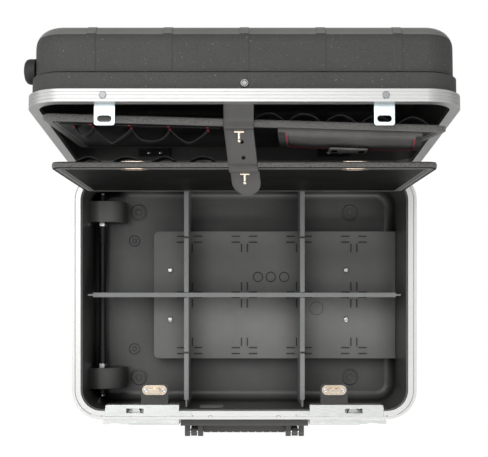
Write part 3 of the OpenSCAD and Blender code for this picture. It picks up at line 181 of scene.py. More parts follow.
class Finish:
    """Material in the making, on coordinates that stay with the piece."""

    def __init__(self, name, colour):
        self.material = bpy.data.materials.new(name)
        self.material.use_nodes = True
        self.tree = self.material.node_tree
        self.tree.nodes.clear()
        output = self.add("OutputMaterial")
        self.shader = self.add("BsdfPrincipled")
        self.tree.links.new(self.shader.outputs[0], output.inputs[0])
        self.where = self.add("TexCoord").outputs["Object"]
        if isinstance(colour, str):
            colour = (colour, 1.0)
        if len(colour) == 2:
            colour = shade(getattr(colours(), colour[0]), colour[1])
        self.colour = colour

    def add(self, kind, inputs=None, **settings):
        return add(self.tree, kind, inputs, **settings)

    def maths(self, kind, first, second=0.0):
        return math_node(self.tree, kind, first, second)

    def mix(self, factor, low, high):
        """Colour from low to high by a factor."""
        ends = [end if isinstance(end, bpy.types.NodeSocket) else (*end[:3], 1) for end in (low, high)]
        return self.add("Mix", {0: factor, 6: ends[0], 7: ends[1]}, data_type="RGBA").outputs[2]

    def spread(self, value, low, high, out_low=0.0, out_high=1.0):
        """Value mapped from one range to another and clamped."""
        ends = {"Value": value, "From Min": low, "From Max": high, "To Min": out_low, "To Max": out_high}
        return self.add("MapRange", ends).outputs[0]

    def noise(self, size, detail=4.0, where=None):
        """Noise with patches of about the given size in metres."""
        inputs = {"Vector": where or self.where, "Scale": 1 / size, "Detail": detail, "Roughness": 0.55}
        return self.add("TexNoise", inputs).outputs["Fac"]

    def pebbles(self, size):
        """Distance field of small rounded grains."""
        inputs = {"Vector": self.where, "Scale": 1 / size, "Smoothness": 0.4}
        return self.add("TexVoronoi", inputs, feature="SMOOTH_F1").outputs["Distance"]

    def over(self, tone, pattern, low, high, colour, most=1.0):
        """Tone that turns to a colour, or to a multiple of the finish's own, by a pattern."""
        if isinstance(colour, float):
            colour = shade(self.colour, colour)
        return self.mix(self.spread(pattern, low, high, 0, most), tone, colour)

    def clouds(self, size, dark, light, colour=None):
        """Cloudy tone between two multiples of a colour, and its pattern."""
        colour = colour or self.colour
        cloud = self.noise(size)
        return self.mix(self.spread(cloud, 0.3, 0.7), shade(colour, dark), shade(colour, light)), cloud

    def round_edges(self, radius):
        """Normal with softened edges, and how near an edge a point is."""
        soft = self.add("Bevel", {"Radius": radius}, samples=6).outputs[0]
        flat = self.add("NewGeometry").outputs["Normal"]
        alike = self.add("VectorMath", {0: soft, 1: flat}, operation="DOT_PRODUCT").outputs["Value"]
        return soft, self.spread(alike, 0.995, 0.90)

    def crevices(self, tone, reach, dark=(0.004, 0.004, 0.004), curve=1.0):
        """Tone with the corners and gaps of the object darker, where light doesn't reach."""
        gap = self.add("AmbientOcclusion", {"Distance": reach}, samples=6)
        return self.mix(self.maths("POWER", gap.outputs["AO"], curve), dark, tone)

    def relief(self, height, depth, normal=None, strength=1.0):
        inputs = {"Height": height, "Distance": depth, "Strength": strength}
        if normal is not None:
            inputs["Normal"] = normal
        return self.add("Bump", inputs).outputs[0]

    def done(self, tone, rough, normal, **more):
        """Material with its colour, roughness and normal set, and plain numbers for the rest."""
        inputs = {"Base Color": tone, "Roughness": rough, "Normal": normal}
        inputs.update({key.replace("_", " "): value for key, value in more.items()})
        for key, value in inputs.items():
            if isinstance(value, bpy.types.NodeSocket):
                self.tree.links.new(value, self.shader.inputs[key])
            else:
                self.shader.inputs[key].default_value = value
        return self.material


def moulded_plastic(name, colour, grain=0.9, depth=0.10, rough=0.55, edge=0.5, edge_wear_and_glint=1.5):
    """Moulded plastic: pebbled grain, cloudy tone, and edges lightened as wear and as a painted highlight."""
    f = Finish(name, colour)
    tone, cloud = f.clouds(60 * MM, 0.88, 1.10)
    tone = f.over(tone, f.noise(1.6 * MM, 3), 0.35, 0.75, 1.45, 0.5)
    normal, near_edge = f.round_edges(edge * MM)
    # Edges lightened, partly as wear and partly as a painted highlight
    tone = f.mix(f.maths("MULTIPLY", near_edge, 0.35), tone, shade(f.colour, edge_wear_and_glint))
    gloss = f.spread(cloud, 0.3, 0.7, rough - 0.06, rough + 0.06)
    return f.done(tone, gloss, f.relief(f.pebbles(grain * MM), depth * MM, normal))


def tray_mask(f, half_w, half_d, corner, floor, turn):
    """1 on the faces inside a rounded tray, 0 on its outside."""
    spot = f.where
    if turn:
        inputs = {"Vector": spot, "Center": HINGE, "Axis": (1, 0, 0), "Angle": turn}
        spot = f.add("VectorRotate", inputs, rotation_type="AXIS_ANGLE").outputs[0]
    split = f.add("SeparateXYZ", {0: spot}).outputs
    squares = []
    for value, half in ((split[0], half_w), (split[1], half_d)):
        past = f.maths("SUBTRACT", f.maths("ABSOLUTE", value), half - corner)
        squares.append(f.maths("POWER", f.maths("MAXIMUM", past, 0.0), 2.0))
    side = f.maths("LESS_THAN", f.maths("SQRT", f.maths("ADD", *squares)), corner)
    kind = "LESS_THAN" if turn else "GREATER_THAN"
    return f.maths("MULTIPLY", side, f.maths(kind, split[2], floor))


def shell_plastic(name, tray, turn=0.0):
    """Shell: grained outside with dust specks and edges lightened as wear and painted highlight, and a
    smoother, glossier inside with painted shade on its walls and in its corners.
    """
    f = Finish(name, "shell")
    within = tray_mask(f, *[size * MM for size in tray], turn)
    inner = tuple(colours().inside)
    outside, cloud = f.clouds(70 * MM, 0.85, 1.12)
    outside = f.over(outside, f.noise(1.3 * MM, 3), 0.40, 0.75, 2.0, 0.7)
    outside = f.over(outside, f.noise(2.6 * MM, 1), 0.73, 0.76, (0.34, 0.34, 0.32), 0.55)
    normal, near_edge = f.round_edges(1.2 * MM)
    # Edges of the outside lightened, partly as wear and partly as a painted highlight
    outside = f.mix(f.maths("MULTIPLY", near_edge, 0.5), outside, shade(f.colour, 2.4))
    inside = f.mix(f.spread(cloud, 0.3, 0.7), shade(inner, 0.90), shade(inner, 1.15))
    inside = f.over(inside, f.noise(3.5 * MM, 1), 0.775, 0.79, (0.45, 0.45, 0.43), 0.6)
    # Painted shade: the inside's walls, which face sideways, darker than its floor
    if not turn:
        slope = f.add("SeparateXYZ", {0: f.add("NewGeometry").outputs["Normal"]}).outputs[2]
        inside = f.mix(f.spread(slope, 0.35, 0.95), shade(inner, 0.30), inside)
    # Painted shade in the inside's corners and gaps
    inside = f.crevices(inside, 45 * MM, curve=1.2)
    rough = f.add("Mix", {0: within, 2: 0.58, 3: 0.34}).outputs[0]
    grain = f.maths("MULTIPLY", f.pebbles(1.0 * MM), 1.0)
    strength = f.add("Mix", {0: within, 2: 1.0, 3: 0.12}).outputs[0]
    return f.done(f.mix(within, outside, inside), rough, f.relief(grain, 0.14 * MM, normal, strength))


def satin_metal(name, colour, rough=0.32, brush=(1, 30, 30), stains=0.0):
    """Plated or anodised metal: fine brush lines, cloudy gloss, softened edges lightened as wear and as a
    painted highlight.
    """
    f = Finish(name, colour)
    lines = f.add("Mapping", {"Vector": f.where, "Scale": brush}).outputs[0]
    hair = f.noise(12 * MM, 3, lines)
    tone = f.mix(f.spread(hair, 0.3, 0.7), shade(f.colour, 0.93), shade(f.colour, 1.05))
    tone = f.over(tone, f.noise(25 * MM), 0.45, 0.75, 0.72, stains)
    normal, near_edge = f.round_edges(0.4 * MM)
    # Edges lightened towards white, partly as wear and partly as a painted highlight
    tone = f.mix(f.maths("MULTIPLY", near_edge, 0.3), tone, (0.97, 0.97, 0.96))
    gloss = f.spread(hair, 0.3, 0.7, rough - 0.05, rough + 0.08)
    return f.done(tone, gloss, f.relief(hair, 0.01 * MM, normal), Metallic=1.0)


def board_vinyl(name, colour, grain=0.8, rough=0.46, sheen=0.0, gloss=0.10):
    """Leathery board covering: fine creased grain with a soft sheen."""
    f = Finish(name, colour)
    cells = f.pebbles(grain * MM)
    tone, cloud = f.clouds(90 * MM, 0.75, 1.5)
    tone = f.over(tone, cells, 0.1, 0.6, 2.2, 0.6)
    rough = f.spread(cloud, 0.3, 0.7, rough - 0.05, rough + 0.1)
    return f.done(tone, rough, f.relief(cells, 0.12 * MM), Sheen_Weight=sheen, Specular_IOR_Level=gloss)


def pebbled_binding(name, colour):
    """Coarse woven binding: light knots on a dark ground, matt and dusty."""
    f = Finish(name, colour)
    knots, fuzz = f.pebbles(1.15 * MM), f.noise(0.8 * MM, 3)
    tone = f.mix(f.spread(knots, 0.05, 0.62), shade(f.colour, 1.9), shade(f.colour, 0.65))
    tone = f.over(tone, fuzz, 0.45, 0.8, 2.2, 0.4)
    height = f.maths("ADD", f.maths("MULTIPLY", knots, -1.0), f.maths("MULTIPLY", fuzz, 0.4))
    return f.done(tone, 0.86, f.relief(height, 0.28 * MM), Sheen_Weight=0.35)


def woven_cloth(name, colour, pitch=0.9, depth=0.12, rough=0.8):
    """Plain weave: crossed ribs with a little fuzz, and painted shade in the gaps where the cloth meets other
    parts.
    """
    f = Finish(name, colour)
    ribs = [f.add("TexWave", {"Vector": f.where, "Scale": 0.314 / (pitch * MM), "Distortion": 0.6},
                  bands_direction=axis, wave_profile="SIN").outputs["Fac"] for axis in ("X", "Z")]
    weave = f.maths("MULTIPLY", *ribs)
    tone = f.mix(weave, shade(f.colour, 0.6), shade(f.colour, 1.6))
    tone = f.over(tone, f.noise(30 * MM), 0.4, 0.8, 2.0, 0.4)
    # Painted shade where the cloth meets other parts
    tone = f.crevices(tone, 7 * MM, shade(f.colour, 0.05))
    return f.done(tone, rough, f.relief(weave, depth * MM), Sheen_Weight=0.10)


def sewing_thread(name, colour):
    """Twisted thread."""
    f = Finish(name, colour)
    twist = f.noise(0.5 * MM, 2)
    return f.done(f.mix(twist, shade(f.colour, 0.7), shade(f.colour, 1.5)), 0.7, f.relief(twist, 0.1 * MM))


def cover_plastic(name, factor):
    """Cover over the pull handle: greyer than the shell, with its guide ribs painted near black as the shade
    of grooves, a painted highlight on its edges and painted shade in its corners.
    """
    f = Finish(name, shade(colours().inside, factor))
    tone, _ = f.clouds(80 * MM, 0.88, 1.12)
    tone = f.over(tone, f.noise(3.2 * MM, 1), 0.77, 0.79, (0.5, 0.5, 0.48), 0.6)
    height = f.add("SeparateXYZ", {0: f.where}).outputs[2]
    raised = f.spread(height, COVER_TOP + 0.05 * MM, COVER_TOP + 0.35 * MM)
    # Painted shade: everything above the cover's top, the guide ribs, darkened as the shade inside grooves
    tone = f.mix(raised, tone, shade(f.colour, 0.14))
    normal, near_edge = f.round_edges(1.2 * MM)
    # Painted highlight on the cover's edges, but not on the ribs
    edge_highlight_mask = f.maths("MULTIPLY", near_edge, f.maths("SUBTRACT", 1.0, raised))
    tone = f.mix(f.maths("MULTIPLY", edge_highlight_mask, 0.5), tone, shade(f.colour, 1.8))
    # Painted shade in the cover's corners and gaps
    return f.done(f.crevices(tone, 35 * MM), 0.40, f.relief(f.pebbles(0.7 * MM), 0.02 * MM, normal))


def blank_film(name, colour):
    """Printed film with nothing on it: even tone, faint orange peel."""
    f = Finish(name, colour)
    tone = f.mix(f.noise(15 * MM), shade(f.colour, 0.9), shade(f.colour, 1.1))
    return f.done(tone, 0.35, f.relief(f.noise(1.5 * MM), 0.03 * MM))


# Half width, half depth, corner radius and floor of each shell's inside, in millimetres
BASE_TRAY = (233, 165, 30, 8)
LID_TRAY = (235.5, 167.5, 32.5, 250.4)

# Each finish: how it is made, its material's name, and what its maker is given. A colour is three
# numbers, the name of one of the case's colours, or such a name with a factor
FINISHES = {
    "base_shell": (shell_plastic, "grained_shell_base", BASE_TRAY),
    "lid_shell": (shell_plastic, "grained_shell_lid", LID_TRAY, LID_OPEN),
    "frame": (satin_metal, "anodised_frame", "frame", 0.42),
    # The lid frame is the frame's aluminium darkened: painted shade, a dimmer copy of the same metal
    "lid_frame": (satin_metal, "anodised_lid_frame", ("frame", 0.78), 0.42),
    "zinc": (satin_metal, "zinc_plate", "zinc", 0.30, (1, 30, 30), 0.25),
    "striker": (satin_metal, "blue_zinc_plate", "bluish", 0.26, (30, 30, 1), 0.5),
    "steel": (satin_metal, "bright_steel", (0.72, 0.73, 0.74), 0.22, (1, 30, 30), 0.2),
    "rivet": (satin_metal, "grey_rivet", (0.30, 0.30, 0.31), 0.35, (1, 30, 30), 0.4),
    "bolt": (satin_metal, "dark_bolt", (0.14, 0.13, 0.12), 0.24, (1, 30, 30), 0.4),
    "tube": (satin_metal, "drawn_tube", (0.60, 0.61, 0.63), 0.28, (1, 40, 40)),
    "nickel": (satin_metal, "warm_nickel", "nickel", 0.22, (8, 8, 8), 0.5),
    "bracket": (moulded_plastic, "grey_coat", "bracket", 0.7, 0.03, 0.5),
    "divider": (moulded_plastic, "divider_plastic", "divider", 0.8, 0.03, 0.45, 0.4, 1.6),
    "cover": (cover_plastic, "cover_plastic", 1.55),
    "inner": (moulded_plastic, "inner_plastic", (0.022, 0.022, 0.022), 0.7, 0.04, 0.38, 0.5, 3.0),
    "handle": (moulded_plastic, "handle_plastic", (0.085, 0.083, 0.080), 0.8, 0.08, 0.5, 1.0, 2.0),
    "button": (moulded_plastic, "button_plastic", (0.20, 0.01, 0.012), 0.6, 0.01, 0.3),
    "hub": (moulded_plastic, "hub_plastic", (0.035, 0.035, 0.035), 0.8, 0.03, 0.45, 0.5, 2.5),
    "tyre": (moulded_plastic, "tyre_rubber", (0.016, 0.016, 0.016), 0.7, 0.08, 0.75, 0.5, 2.0),
    "rubber": (moulded_plastic, "foot_rubber", (0.020, 0.020, 0.021), 0.7, 0.06, 0.6, 0.8, 2.5),
    "vinyl": (board_vinyl, "board_vinyl", "vinyl"),
    "strap": (board_vinyl, "strap_band", (0.050, 0.048, 0.047), 0.5, 0.36, 0.1, 0.5),
    "pouch": (woven_cloth, "pouch_cloth", (0.125, 0.122, 0.117), 1.0, 0.12, 0.55),
    "pouch_edge": (woven_cloth, "pouch_edge_tape", (0.030, 0.028, 0.028), 0.8),
    "binding": (pebbled_binding, "pebbled_binding", "binding"),
    "elastic": (woven_cloth, "loop_elastic", (0.030, 0.030, 0.029), 1.1, 0.2, 0.7),
    "red": (sewing_thread, "red_thread", "red"),
    "dark_thread": (sewing_thread, "dark_thread", (0.030, 0.029, 0.028)),
    "label": (blank_film, "blank_film", "label"),
    "clasp": (moulded_plastic, "clasp_plate", (0.62, 0.62, 0.60), 0.7, 0.01, 0.3, 0.5, 1.3),
    # Near black: painted shade for the clasp's windows, also the colour of the clasp's stitches
    "void": (moulded_plastic, "dark_window", (0.006, 0.006, 0.006), 0.7, 0.02, 0.5),
}

# Finish of each CAD node
NODE_FINISH = {
    "base_shell": "base_shell",
    "lid_shell": "lid_shell",
    "frame": "base_frame",
    "lid_frame": "lid_frame",
    "rubber": "base_feet lid_stand_feet",
    "zinc": "lock_housings lock_covers left_lock_slider right_lock_slider left_lock_bolt right_lock_bolt",
    "striker": "lid_strikers",
    "steel": "hinge_base_leaves hinge_lid_leaves hinge_pins wheel_axle axle_nuts base_screws "
             "carry_handle_pins left_lock_spring right_lock_spring trolley_button_spring "
             "lower_pallet_pins upper_pallet_pins",
    "rivet": "lid_rivets",
    "tube": "trolley_outer_tubes trolley_middle_tubes trolley_inner_tubes",
    "nickel": "turnlock_plates left_turn_knob right_turn_knob lower_pallet_eyelets lower_pallet_stud "
              "upper_pallet_stud",
    "bracket": "turnlock_brackets lower_pallet_brackets lower_pallet_hinges upper_pallet_hinges",
    "inner": "axle_spacers trolley_bezel trolley_grip upper_pallet_brackets",
    "cover": "trolley_cover",
    "divider": "long_divider left_cross_divider right_cross_divider",
    "handle": "carry_handle_base carry_handle_grip",
    "button": "trolley_button",
    "hub": "front_wheel_hub rear_wheel_hub",
    "tyre": "front_wheel_tyre rear_wheel_tyre",
    "vinyl": "lower_pallet_board upper_pallet_board",
    "elastic": "upper_tool_loops lower_tool_loops",
    "pouch": "document_pouch",
    "strap": "retaining_strap",
}
MADE = {}


def finish(name):
    """The finish of that name, made when it is first asked for."""
    if name not in MADE:
        maker, *given = FINISHES[name]
        MADE[name] = maker(*given)
    return MADE[name]


# Shapes: each is a pair of a list of points and a list of faces

def joined(shapes):
    """Several shapes as one."""
    points, faces = [], []
    for shape_points, shape_faces in shapes:
        start = len(points)
        points.extend(shape_points)
        faces.extend([tuple(start + corner for corner in face) for face in shape_faces])
    return points, faces


def put(shape, placing):
    """Shape with each point placed by a function."""
    return [placing(point) for point in shape[0]], shape[1]


def moved(shape, matrix):
    return put(shape, lambda point: matrix @ Vector(point))


def link(made):
    bpy.context.scene.collection.objects.link(made)
    return made


def solid_mesh(name, shape):
    """Mesh of a shape with its faces turned outwards."""
    mesh = bpy.data.meshes.new(name)
    mesh.from_pydata([tuple(point) for point in shape[0]], [], shape[1])
    builder = bmesh.new()
    builder.from_mesh(mesh)
    bmesh.ops.recalc_face_normals(builder, faces=builder.faces)
    builder.to_mesh(mesh)
    builder.free()
    return mesh


def piece(name, shape, look, body, smooth=40, replaces=()):
    """Object from a shape, with its finish, riding on a body."""
    mesh = solid_mesh(name, shape)
    mesh.shade_smooth()
    mesh.set_sharp_from_angle(angle=math.radians(smooth))
    mesh.materials.append(finish(look))
    made = link(bpy.data.objects.new(name, mesh))
    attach(made, body)
    if replaces:
        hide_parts(*replaces)
    return made


def pierce(target, shapes):
    """Cut closed shapes out of a piece."""
    cutter = link(bpy.data.objects.new("punches", solid_mesh("punches", joined(shapes))))
    cut = target.modifiers.new("holes", "BOOLEAN")
    cut.operation = "DIFFERENCE"
    cut.solver = "EXACT"
    cut.use_self = True
    cut.object = cutter
    bpy.context.view_layer.update()
    ready = target.evaluated_get(bpy.context.evaluated_depsgraph_get())
    mesh = bpy.data.meshes.new_from_object(ready)
    target.modifiers.clear()
    target.data = mesh
    bpy.data.objects.remove(cutter)


def ring_faces(rings, size, closed=False):
    """Quads between rings of the given size, with both ends capped unless they meet."""
    faces = []
    for ring in range(rings if closed else rings - 1):
        after = (ring + 1) % rings
        for k in range(size):
            j = (k + 1) % size
            faces.append((ring * size + k, ring * size + j, after * size + j, after * size + k))
    if not closed:
        faces.append(tuple(range(size))[::-1])
        faces.append(tuple(range((rings - 1) * size, rings * size)))
    return faces


def sheet_faces(columns, rows):
    """Faces of a sheet with two sides, each a grid of columns by rows, and of its edge."""
    size = columns + 1
    grid = [(j * size + i, j * size + i + 1, (j + 1) * size + i + 1, (j + 1) * size + i)
            for j in range(rows) for i in range(columns)]
    back = size * (rows + 1)
    faces = grid + [tuple(back + corner for corner in reversed(quad)) for quad in grid]
    rim = list(range(size)) + [(j + 1) * size - 1 for j in range(1, rows + 1)]
    rim += [rows * size + i for i in range(columns - 1, -1, -1)]
    rim += [j * size for j in range(rows - 1, 0, -1)]
    for corner, after in zip(rim, rim[1:] + rim[:1]):
        faces.append((corner, corner + back, after + back, after))
    return faces


def swept(path, section, up=Vector((0, 0, 1)), closed=False):
    """Section (out, up) swept along a path that lies square to up."""
    points = []
    count = len(path)
    for i, spot in enumerate(path):
        before = path[i - 1] if i > 0 or closed else spot
        after = path[(i + 1) % count] if i < count - 1 or closed else spot
        out = (Vector(after) - Vector(before)).cross(up).normalized()
        points.extend([Vector(spot) + out * a + up * b for a, b in section])
    return points, ring_faces(count, len(section), closed)


def circle(radius, steps):
    return [(radius * math.cos(2 * math.pi * k / steps), radius * math.sin(2 * math.pi * k / steps))
            for k in range(steps)]


def lathed(profile, steps=32):
    """Profile of (radius, height) turned about Z, closed at its ends."""
    points = [Vector((x, y, height)) for radius, height in profile for x, y in circle(radius, steps)]
    return points, ring_faces(len(profile), steps)


def turned_part(profile, steps=32):
    """Lathed shape from a profile in millimetres."""
    return lathed([(radius * MM, height * MM) for radius, height in profile], steps)


def rounded_outline(width, height, radius, steps=8):
    """Points of a rounded rectangle about the origin, anticlockwise."""
    points = []
    for sx, sy, start in ((1, 1, 0), (-1, 1, 90), (-1, -1, 180), (1, -1, 270)):
        for k in range(steps + 1):
            angle = math.radians(start + 90 * k / steps)
            points.append((sx * (width / 2 - radius) + radius * math.cos(angle),
                           sy * (height / 2 - radius) + radius * math.sin(angle)))
    return points


def inset(outline, amount):
    """Outline moved inwards along its corners' normals."""
    result = []
    for i, (x, y) in enumerate(outline):
        x0, y0 = outline[i - 1]
        x1, y1 = outline[(i + 1) % len(outline)]
        along = Vector((x1 - x0, y1 - y0)).normalized()
        result.append((x - along.y * amount, y + along.x * amount))
    return result


def plate(width, height, radius, steps, thickness, edge, rounds=3):
    """Rounded plate on z = 0 with softened edges, from sizes in millimetres."""
    outline = rounded_outline(width * MM, height * MM, radius * MM, steps)
    soft = [math.pi / 2 * k / rounds for k in range(rounds + 1)]
    rings = [(edge * MM * (1 - math.sin(angle)), edge * MM * (1 - math.cos(angle))) for angle in soft]
    levels = rings + [(a, thickness * MM - b) for a, b in rings[::-1]]
    points = [Vector((x, y, level)) for amount, level in levels for x, y in inset(outline, amount)]
    return points, ring_faces(len(levels), len(outline))


def stitch(start, end, radius):
    """One stitch: a short thread that dips at both ends."""
    along = Vector(end) - Vector(start)
    profile = [(wide * radius, far * along.length)
               for wide, far in ((0.3, 0), (0.85, 0.12), (1, 0.5), (0.85, 0.88), (0.3, 1))]
    return moved(lathed(profile, 6), at(*start) @ along.to_track_quat("Z", "Y").to_matrix().to_4x4())


def run_lengths(path):
    """Distance along a path to each of its points."""
    runs = [0.0]
    for a, b in zip(path, path[1:]):
        runs.append(runs[-1] + (b - a).length)
    return runs


def stitched(path, gap, radius):
    """Row of stitches along a list of points."""
    runs = run_lengths(path)
    size = sizes().stitch_len

    def spot(distance):
        for i in range(len(path) - 1):
            if distance <= runs[i + 1]:
                share = (distance - runs[i]) / max(runs[i + 1] - runs[i], 1e-9)
                return path[i].lerp(path[i + 1], share)
        return path[-1]

    starts = [k * (size + gap) + gap / 2 for k in range(int(runs[-1] / (size + gap)))]
    return joined([stitch(spot(start), spot(start + size), radius) for start in starts])


def smooth_path(points, steps=8):
    """Points on a smooth curve through the given ones."""
    full = [points[0], *points, points[-1]]
    result = []
    for i in range(1, len(full) - 2):
        p0, p1, p2, p3 = (Vector(full[i + k]) for k in (-1, 0, 1, 2))
        for k in range(steps):
            t = k / steps
            result.append(0.5 * (2 * p1 + (p2 - p0) * t + (2 * p0 - 5 * p1 + 4 * p2 - p3) * t * t
                                 + (3 * p1 - p0 - 3 * p2 + p3) * t ** 3))
    result.append(Vector(points[-1]))
    return result


# Pallets

def board_of(node, place_matrix):
    """Half width, lower and upper end and half thickness of a board, on its own axes."""
    back = place_matrix.inverted()
    spots = [back @ vertex.co for vertex in NODES[node].data.vertices]
    return (max(s.x for s in spots), min(s.z for s in spots), max(s.z for s in spots),
            max(s.y for s in spots))


UPPER_BOARD = board_of("upper_pallet_board", UPPER_PLACE)
LOWER_BOARD = board_of("lower_pallet_board", LOWER_PLACE)
HALF_T, UPPER_TOP, LOWER_TOP = UPPER_BOARD[3], UPPER_BOARD[2], LOWER_BOARD[2]
BOARD_R = 14 * MM
EYELET_X = 129 * MM


def on_upper(point):
    """Point on the upper board's axes put in the case, with the board's slight twist."""
    x, y, z = point
    y -= sizes().board_twist * (x / UPPER_BOARD[0]) * max(0.0, z / UPPER_TOP)
    return UPPER_PLACE @ Vector((x, y, z))


def on_lower(point):
    """Point on the lower board's axes put in the case."""
    return LOWER_PLACE @ Vector(point)


def board_path(board, inward, steps, per_side=16):
    """Closed path round a board, inward from its edge, with points along its straight sides."""
    half_w, low, high, _ = board
    outline = rounded_outline(2 * (half_w - inward), high - low - 2 * inward, BOARD_R - inward, steps)
    middle = (low + high) / 2
    path = []
    for i, (x, z) in enumerate(outline):
        x1, z1 = outline[(i + 1) % len(outline)]
        parts = per_side if math.hypot(x1 - x, z1 - z) > 0.1 else 1
        for k in range(parts):
            share = k / parts
            path.append(Vector((x + (x1 - x) * share, 0, middle + z + (z1 - z) * share)))
    return path


def edge_binding(board, placing):
    """Padded strip folded round a board's edge."""
    inner, puff = sizes().binding_in, sizes().binding_puff
    section = []
    turns, fold = 18, 0.8 * MM
    for k in range(turns + 1):
        angle = math.pi * (k / turns - 0.5)
        # Powers below 1 make the fold squarer than a half circle
        out = -inner + (inner + fold) * abs(math.cos(angle)) ** 0.55
        lift = board[3] + puff * math.cos(angle * 0.8)
        section.append((-out, lift * math.copysign(abs(math.sin(angle)) ** 0.42, angle)))
    return put(swept(board_path(board, 0.0, 10), section, Vector((0, 1, 0)), closed=True), placing)


def binding_seam(board, placing):
    """Dark stitches along the inner edge of the binding, on both faces."""
    shapes = []
    inward, lift, gap, radius = 10.2 * MM, 0.75 * MM, 1.4 * MM, 0.35 * MM
    for side in (-1, 1):
        path = board_path(board, inward, 4, 60)
        raised = [Vector((p.x, side * (board[3] + lift), p.z)) for p in path + path[:1]]
        shapes.append(stitched(raised, gap, radius))
    return put(joined(shapes), placing)


def board_covering(board, placing, columns=16, rows=12):
    """Board core as a grid of faces, so that a twist bends it smoothly."""
    half_w, low, high, half_t = board
    inward = 6 * MM
    x0, x1, z0, z1 = inward - half_w, half_w - inward, low + inward, high - inward
    points = [Vector((x0 + (x1 - x0) * i / columns, side * half_t, z0 + (z1 - z0) * j / rows))
              for side in (-1, 1) for j in range(rows + 1) for i in range(columns + 1)]
    return put((points, sheet_faces(columns, rows)), placing)


def elastic_band(flat_path, bottom, top, placing, side):
    """Elastic on edge along a path of (across, out) points off a board's face."""
    half = sizes().elastic / 2
    levels = [(bottom, 1.0), (bottom * 0.5 + top * 0.5, 0.93), (top, 1.0)]
    points = []
    for i, (x, out) in enumerate(flat_path):
        x0, o0 = flat_path[max(i - 1, 0)]
        x1, o1 = flat_path[min(i + 1, len(flat_path) - 1)]
        along = Vector((x1 - x0, o1 - o0)).normalized()
        ring = [(x + skin * along.y * half, (out - skin * along.x * half) * k, z)
                for skin in (-1, 1) for z, k in levels[::-skin]]
        points.extend([placing((a, side * (HALF_T + max(b, 0.1 * MM)), z)) for a, b, z in ring])
    return points, ring_faces(len(flat_path), 6)


def slack_loop(x0, x1, depth, sag, steps=18):
    """Path of a slack loop between two tacks; sag pushes its belly to one side."""
    path = []
    for k in range(steps + 1):
        t = k / steps
        lean = sag * math.sin(2 * math.pi * t) * (x1 - x0)
        path.append((x0 + (x1 - x0) * t + lean, depth * math.sin(math.pi * t) ** 0.75))
    return path


def tack(x, z):
    """Zigzag of red stitches that holds an elastic down on the upper board's front."""
    height, turns = 6 * MM, 5
    shapes = []
    for k in range(turns):
        across = 1.4 * MM if k % 2 else -1.4 * MM
        low = z - height * k / turns
        start = on_upper((x - across, -HALF_T - 0.9 * MM, low))
        end = on_upper((x + across, -HALF_T - 1.1 * MM, low - height / turns))
        shapes.append(stitch(start, end, sizes().thread / 2))
    return joined(shapes)


class ToolCasePieces:
    """Settings that all operators of the case share."""

    bl_options = {"REGISTER", "UNDO"}


class CASE_OT_finishes(ToolCasePieces, bpy.types.Operator):
    """Give every rigid piece its finish"""

    bl_idname = "case.finishes"
    bl_label = "Finishes"

    def execute(self, context):
        for name, members in NODE_FINISH.items():
            for node in members.split():
                mesh = NODES[node].data
                mesh.materials.clear()
                mesh.materials.append(finish(name))
                mesh.shade_smooth()
                mesh.set_sharp_from_angle(angle=math.radians(30))
        return {"FINISHED"}


class CASE_OT_boards(ToolCasePieces, bpy.types.Operator):
    """Cover the pallet boards and fold a padded binding round their edges"""

    bl_idname = "case.boards"
    bl_label = "Pallet boards"

    def execute(self, context):
        piece("upper_board_cover", board_covering(UPPER_BOARD, on_upper), "vinyl", "upper_pallet",
              30, ["upper_pallet_board"])
        for name, board, placing in (("upper", UPPER_BOARD, on_upper), ("lower", LOWER_BOARD, on_lower)):
            body = name + "_pallet"
            folded = edge_binding(board, placing)
            folded = piece(name + "_board_binding", folded, "binding", body, 60)
            seam = binding_seam(board, placing)
            if name == "lower":
                low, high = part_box("lower_pallet_eyelets")
                pierce(folded, self.eyelet_gaps((low + high) / 2, high))
                seam = self.clear_of_eyelets(seam, high.x - EYELET_X + 1 * MM)
            piece(name + "_board_seam", seam, "dark_thread", body)
        return {"FINISHED"}

    def eyelet_gaps(self, middle, high):
        """Openings through the binding for both eyelets."""
        wide, tall = (high.x - EYELET_X) / MM, (high.z - middle.z) / MM
        shape = plate(2 * wide - 1, 2 * tall - 1, 0.8 * tall, 6, 40, 0.01, 1)
        return [moved(shape, at(side * EYELET_X, middle.y + 20 * MM, middle.z) @ turned(90))
                for side in (-1, 1)]

    def clear_of_eyelets(self, seam, wide):
        """Seam without the stitches that an eyelet replaces."""
        points, faces = seam
        kept = [face for face in faces if all(abs(abs(points[i].x) - EYELET_X) > wide
                                              or points[i].z < LOWER_AXIS.z for i in face)]
        number = {old: new for new, old in enumerate(sorted({i for face in kept for i in face}))}
        return [points[i] for i in number], [tuple(number[i] for i in face) for face in kept]


UPPER_FRONT_TACKS = [x * MM for x in (-200.3, -177.8, -132.8, -87.8, -42.8)]
UPPER_FRONT_LOOPS = [(0.75, 0.02), (1.25, 0.07), (1.05, -0.06), (1.1, 0.05)]
LOOP_H = 25 * MM
LOOP_HALF_W = 17.5 * MM


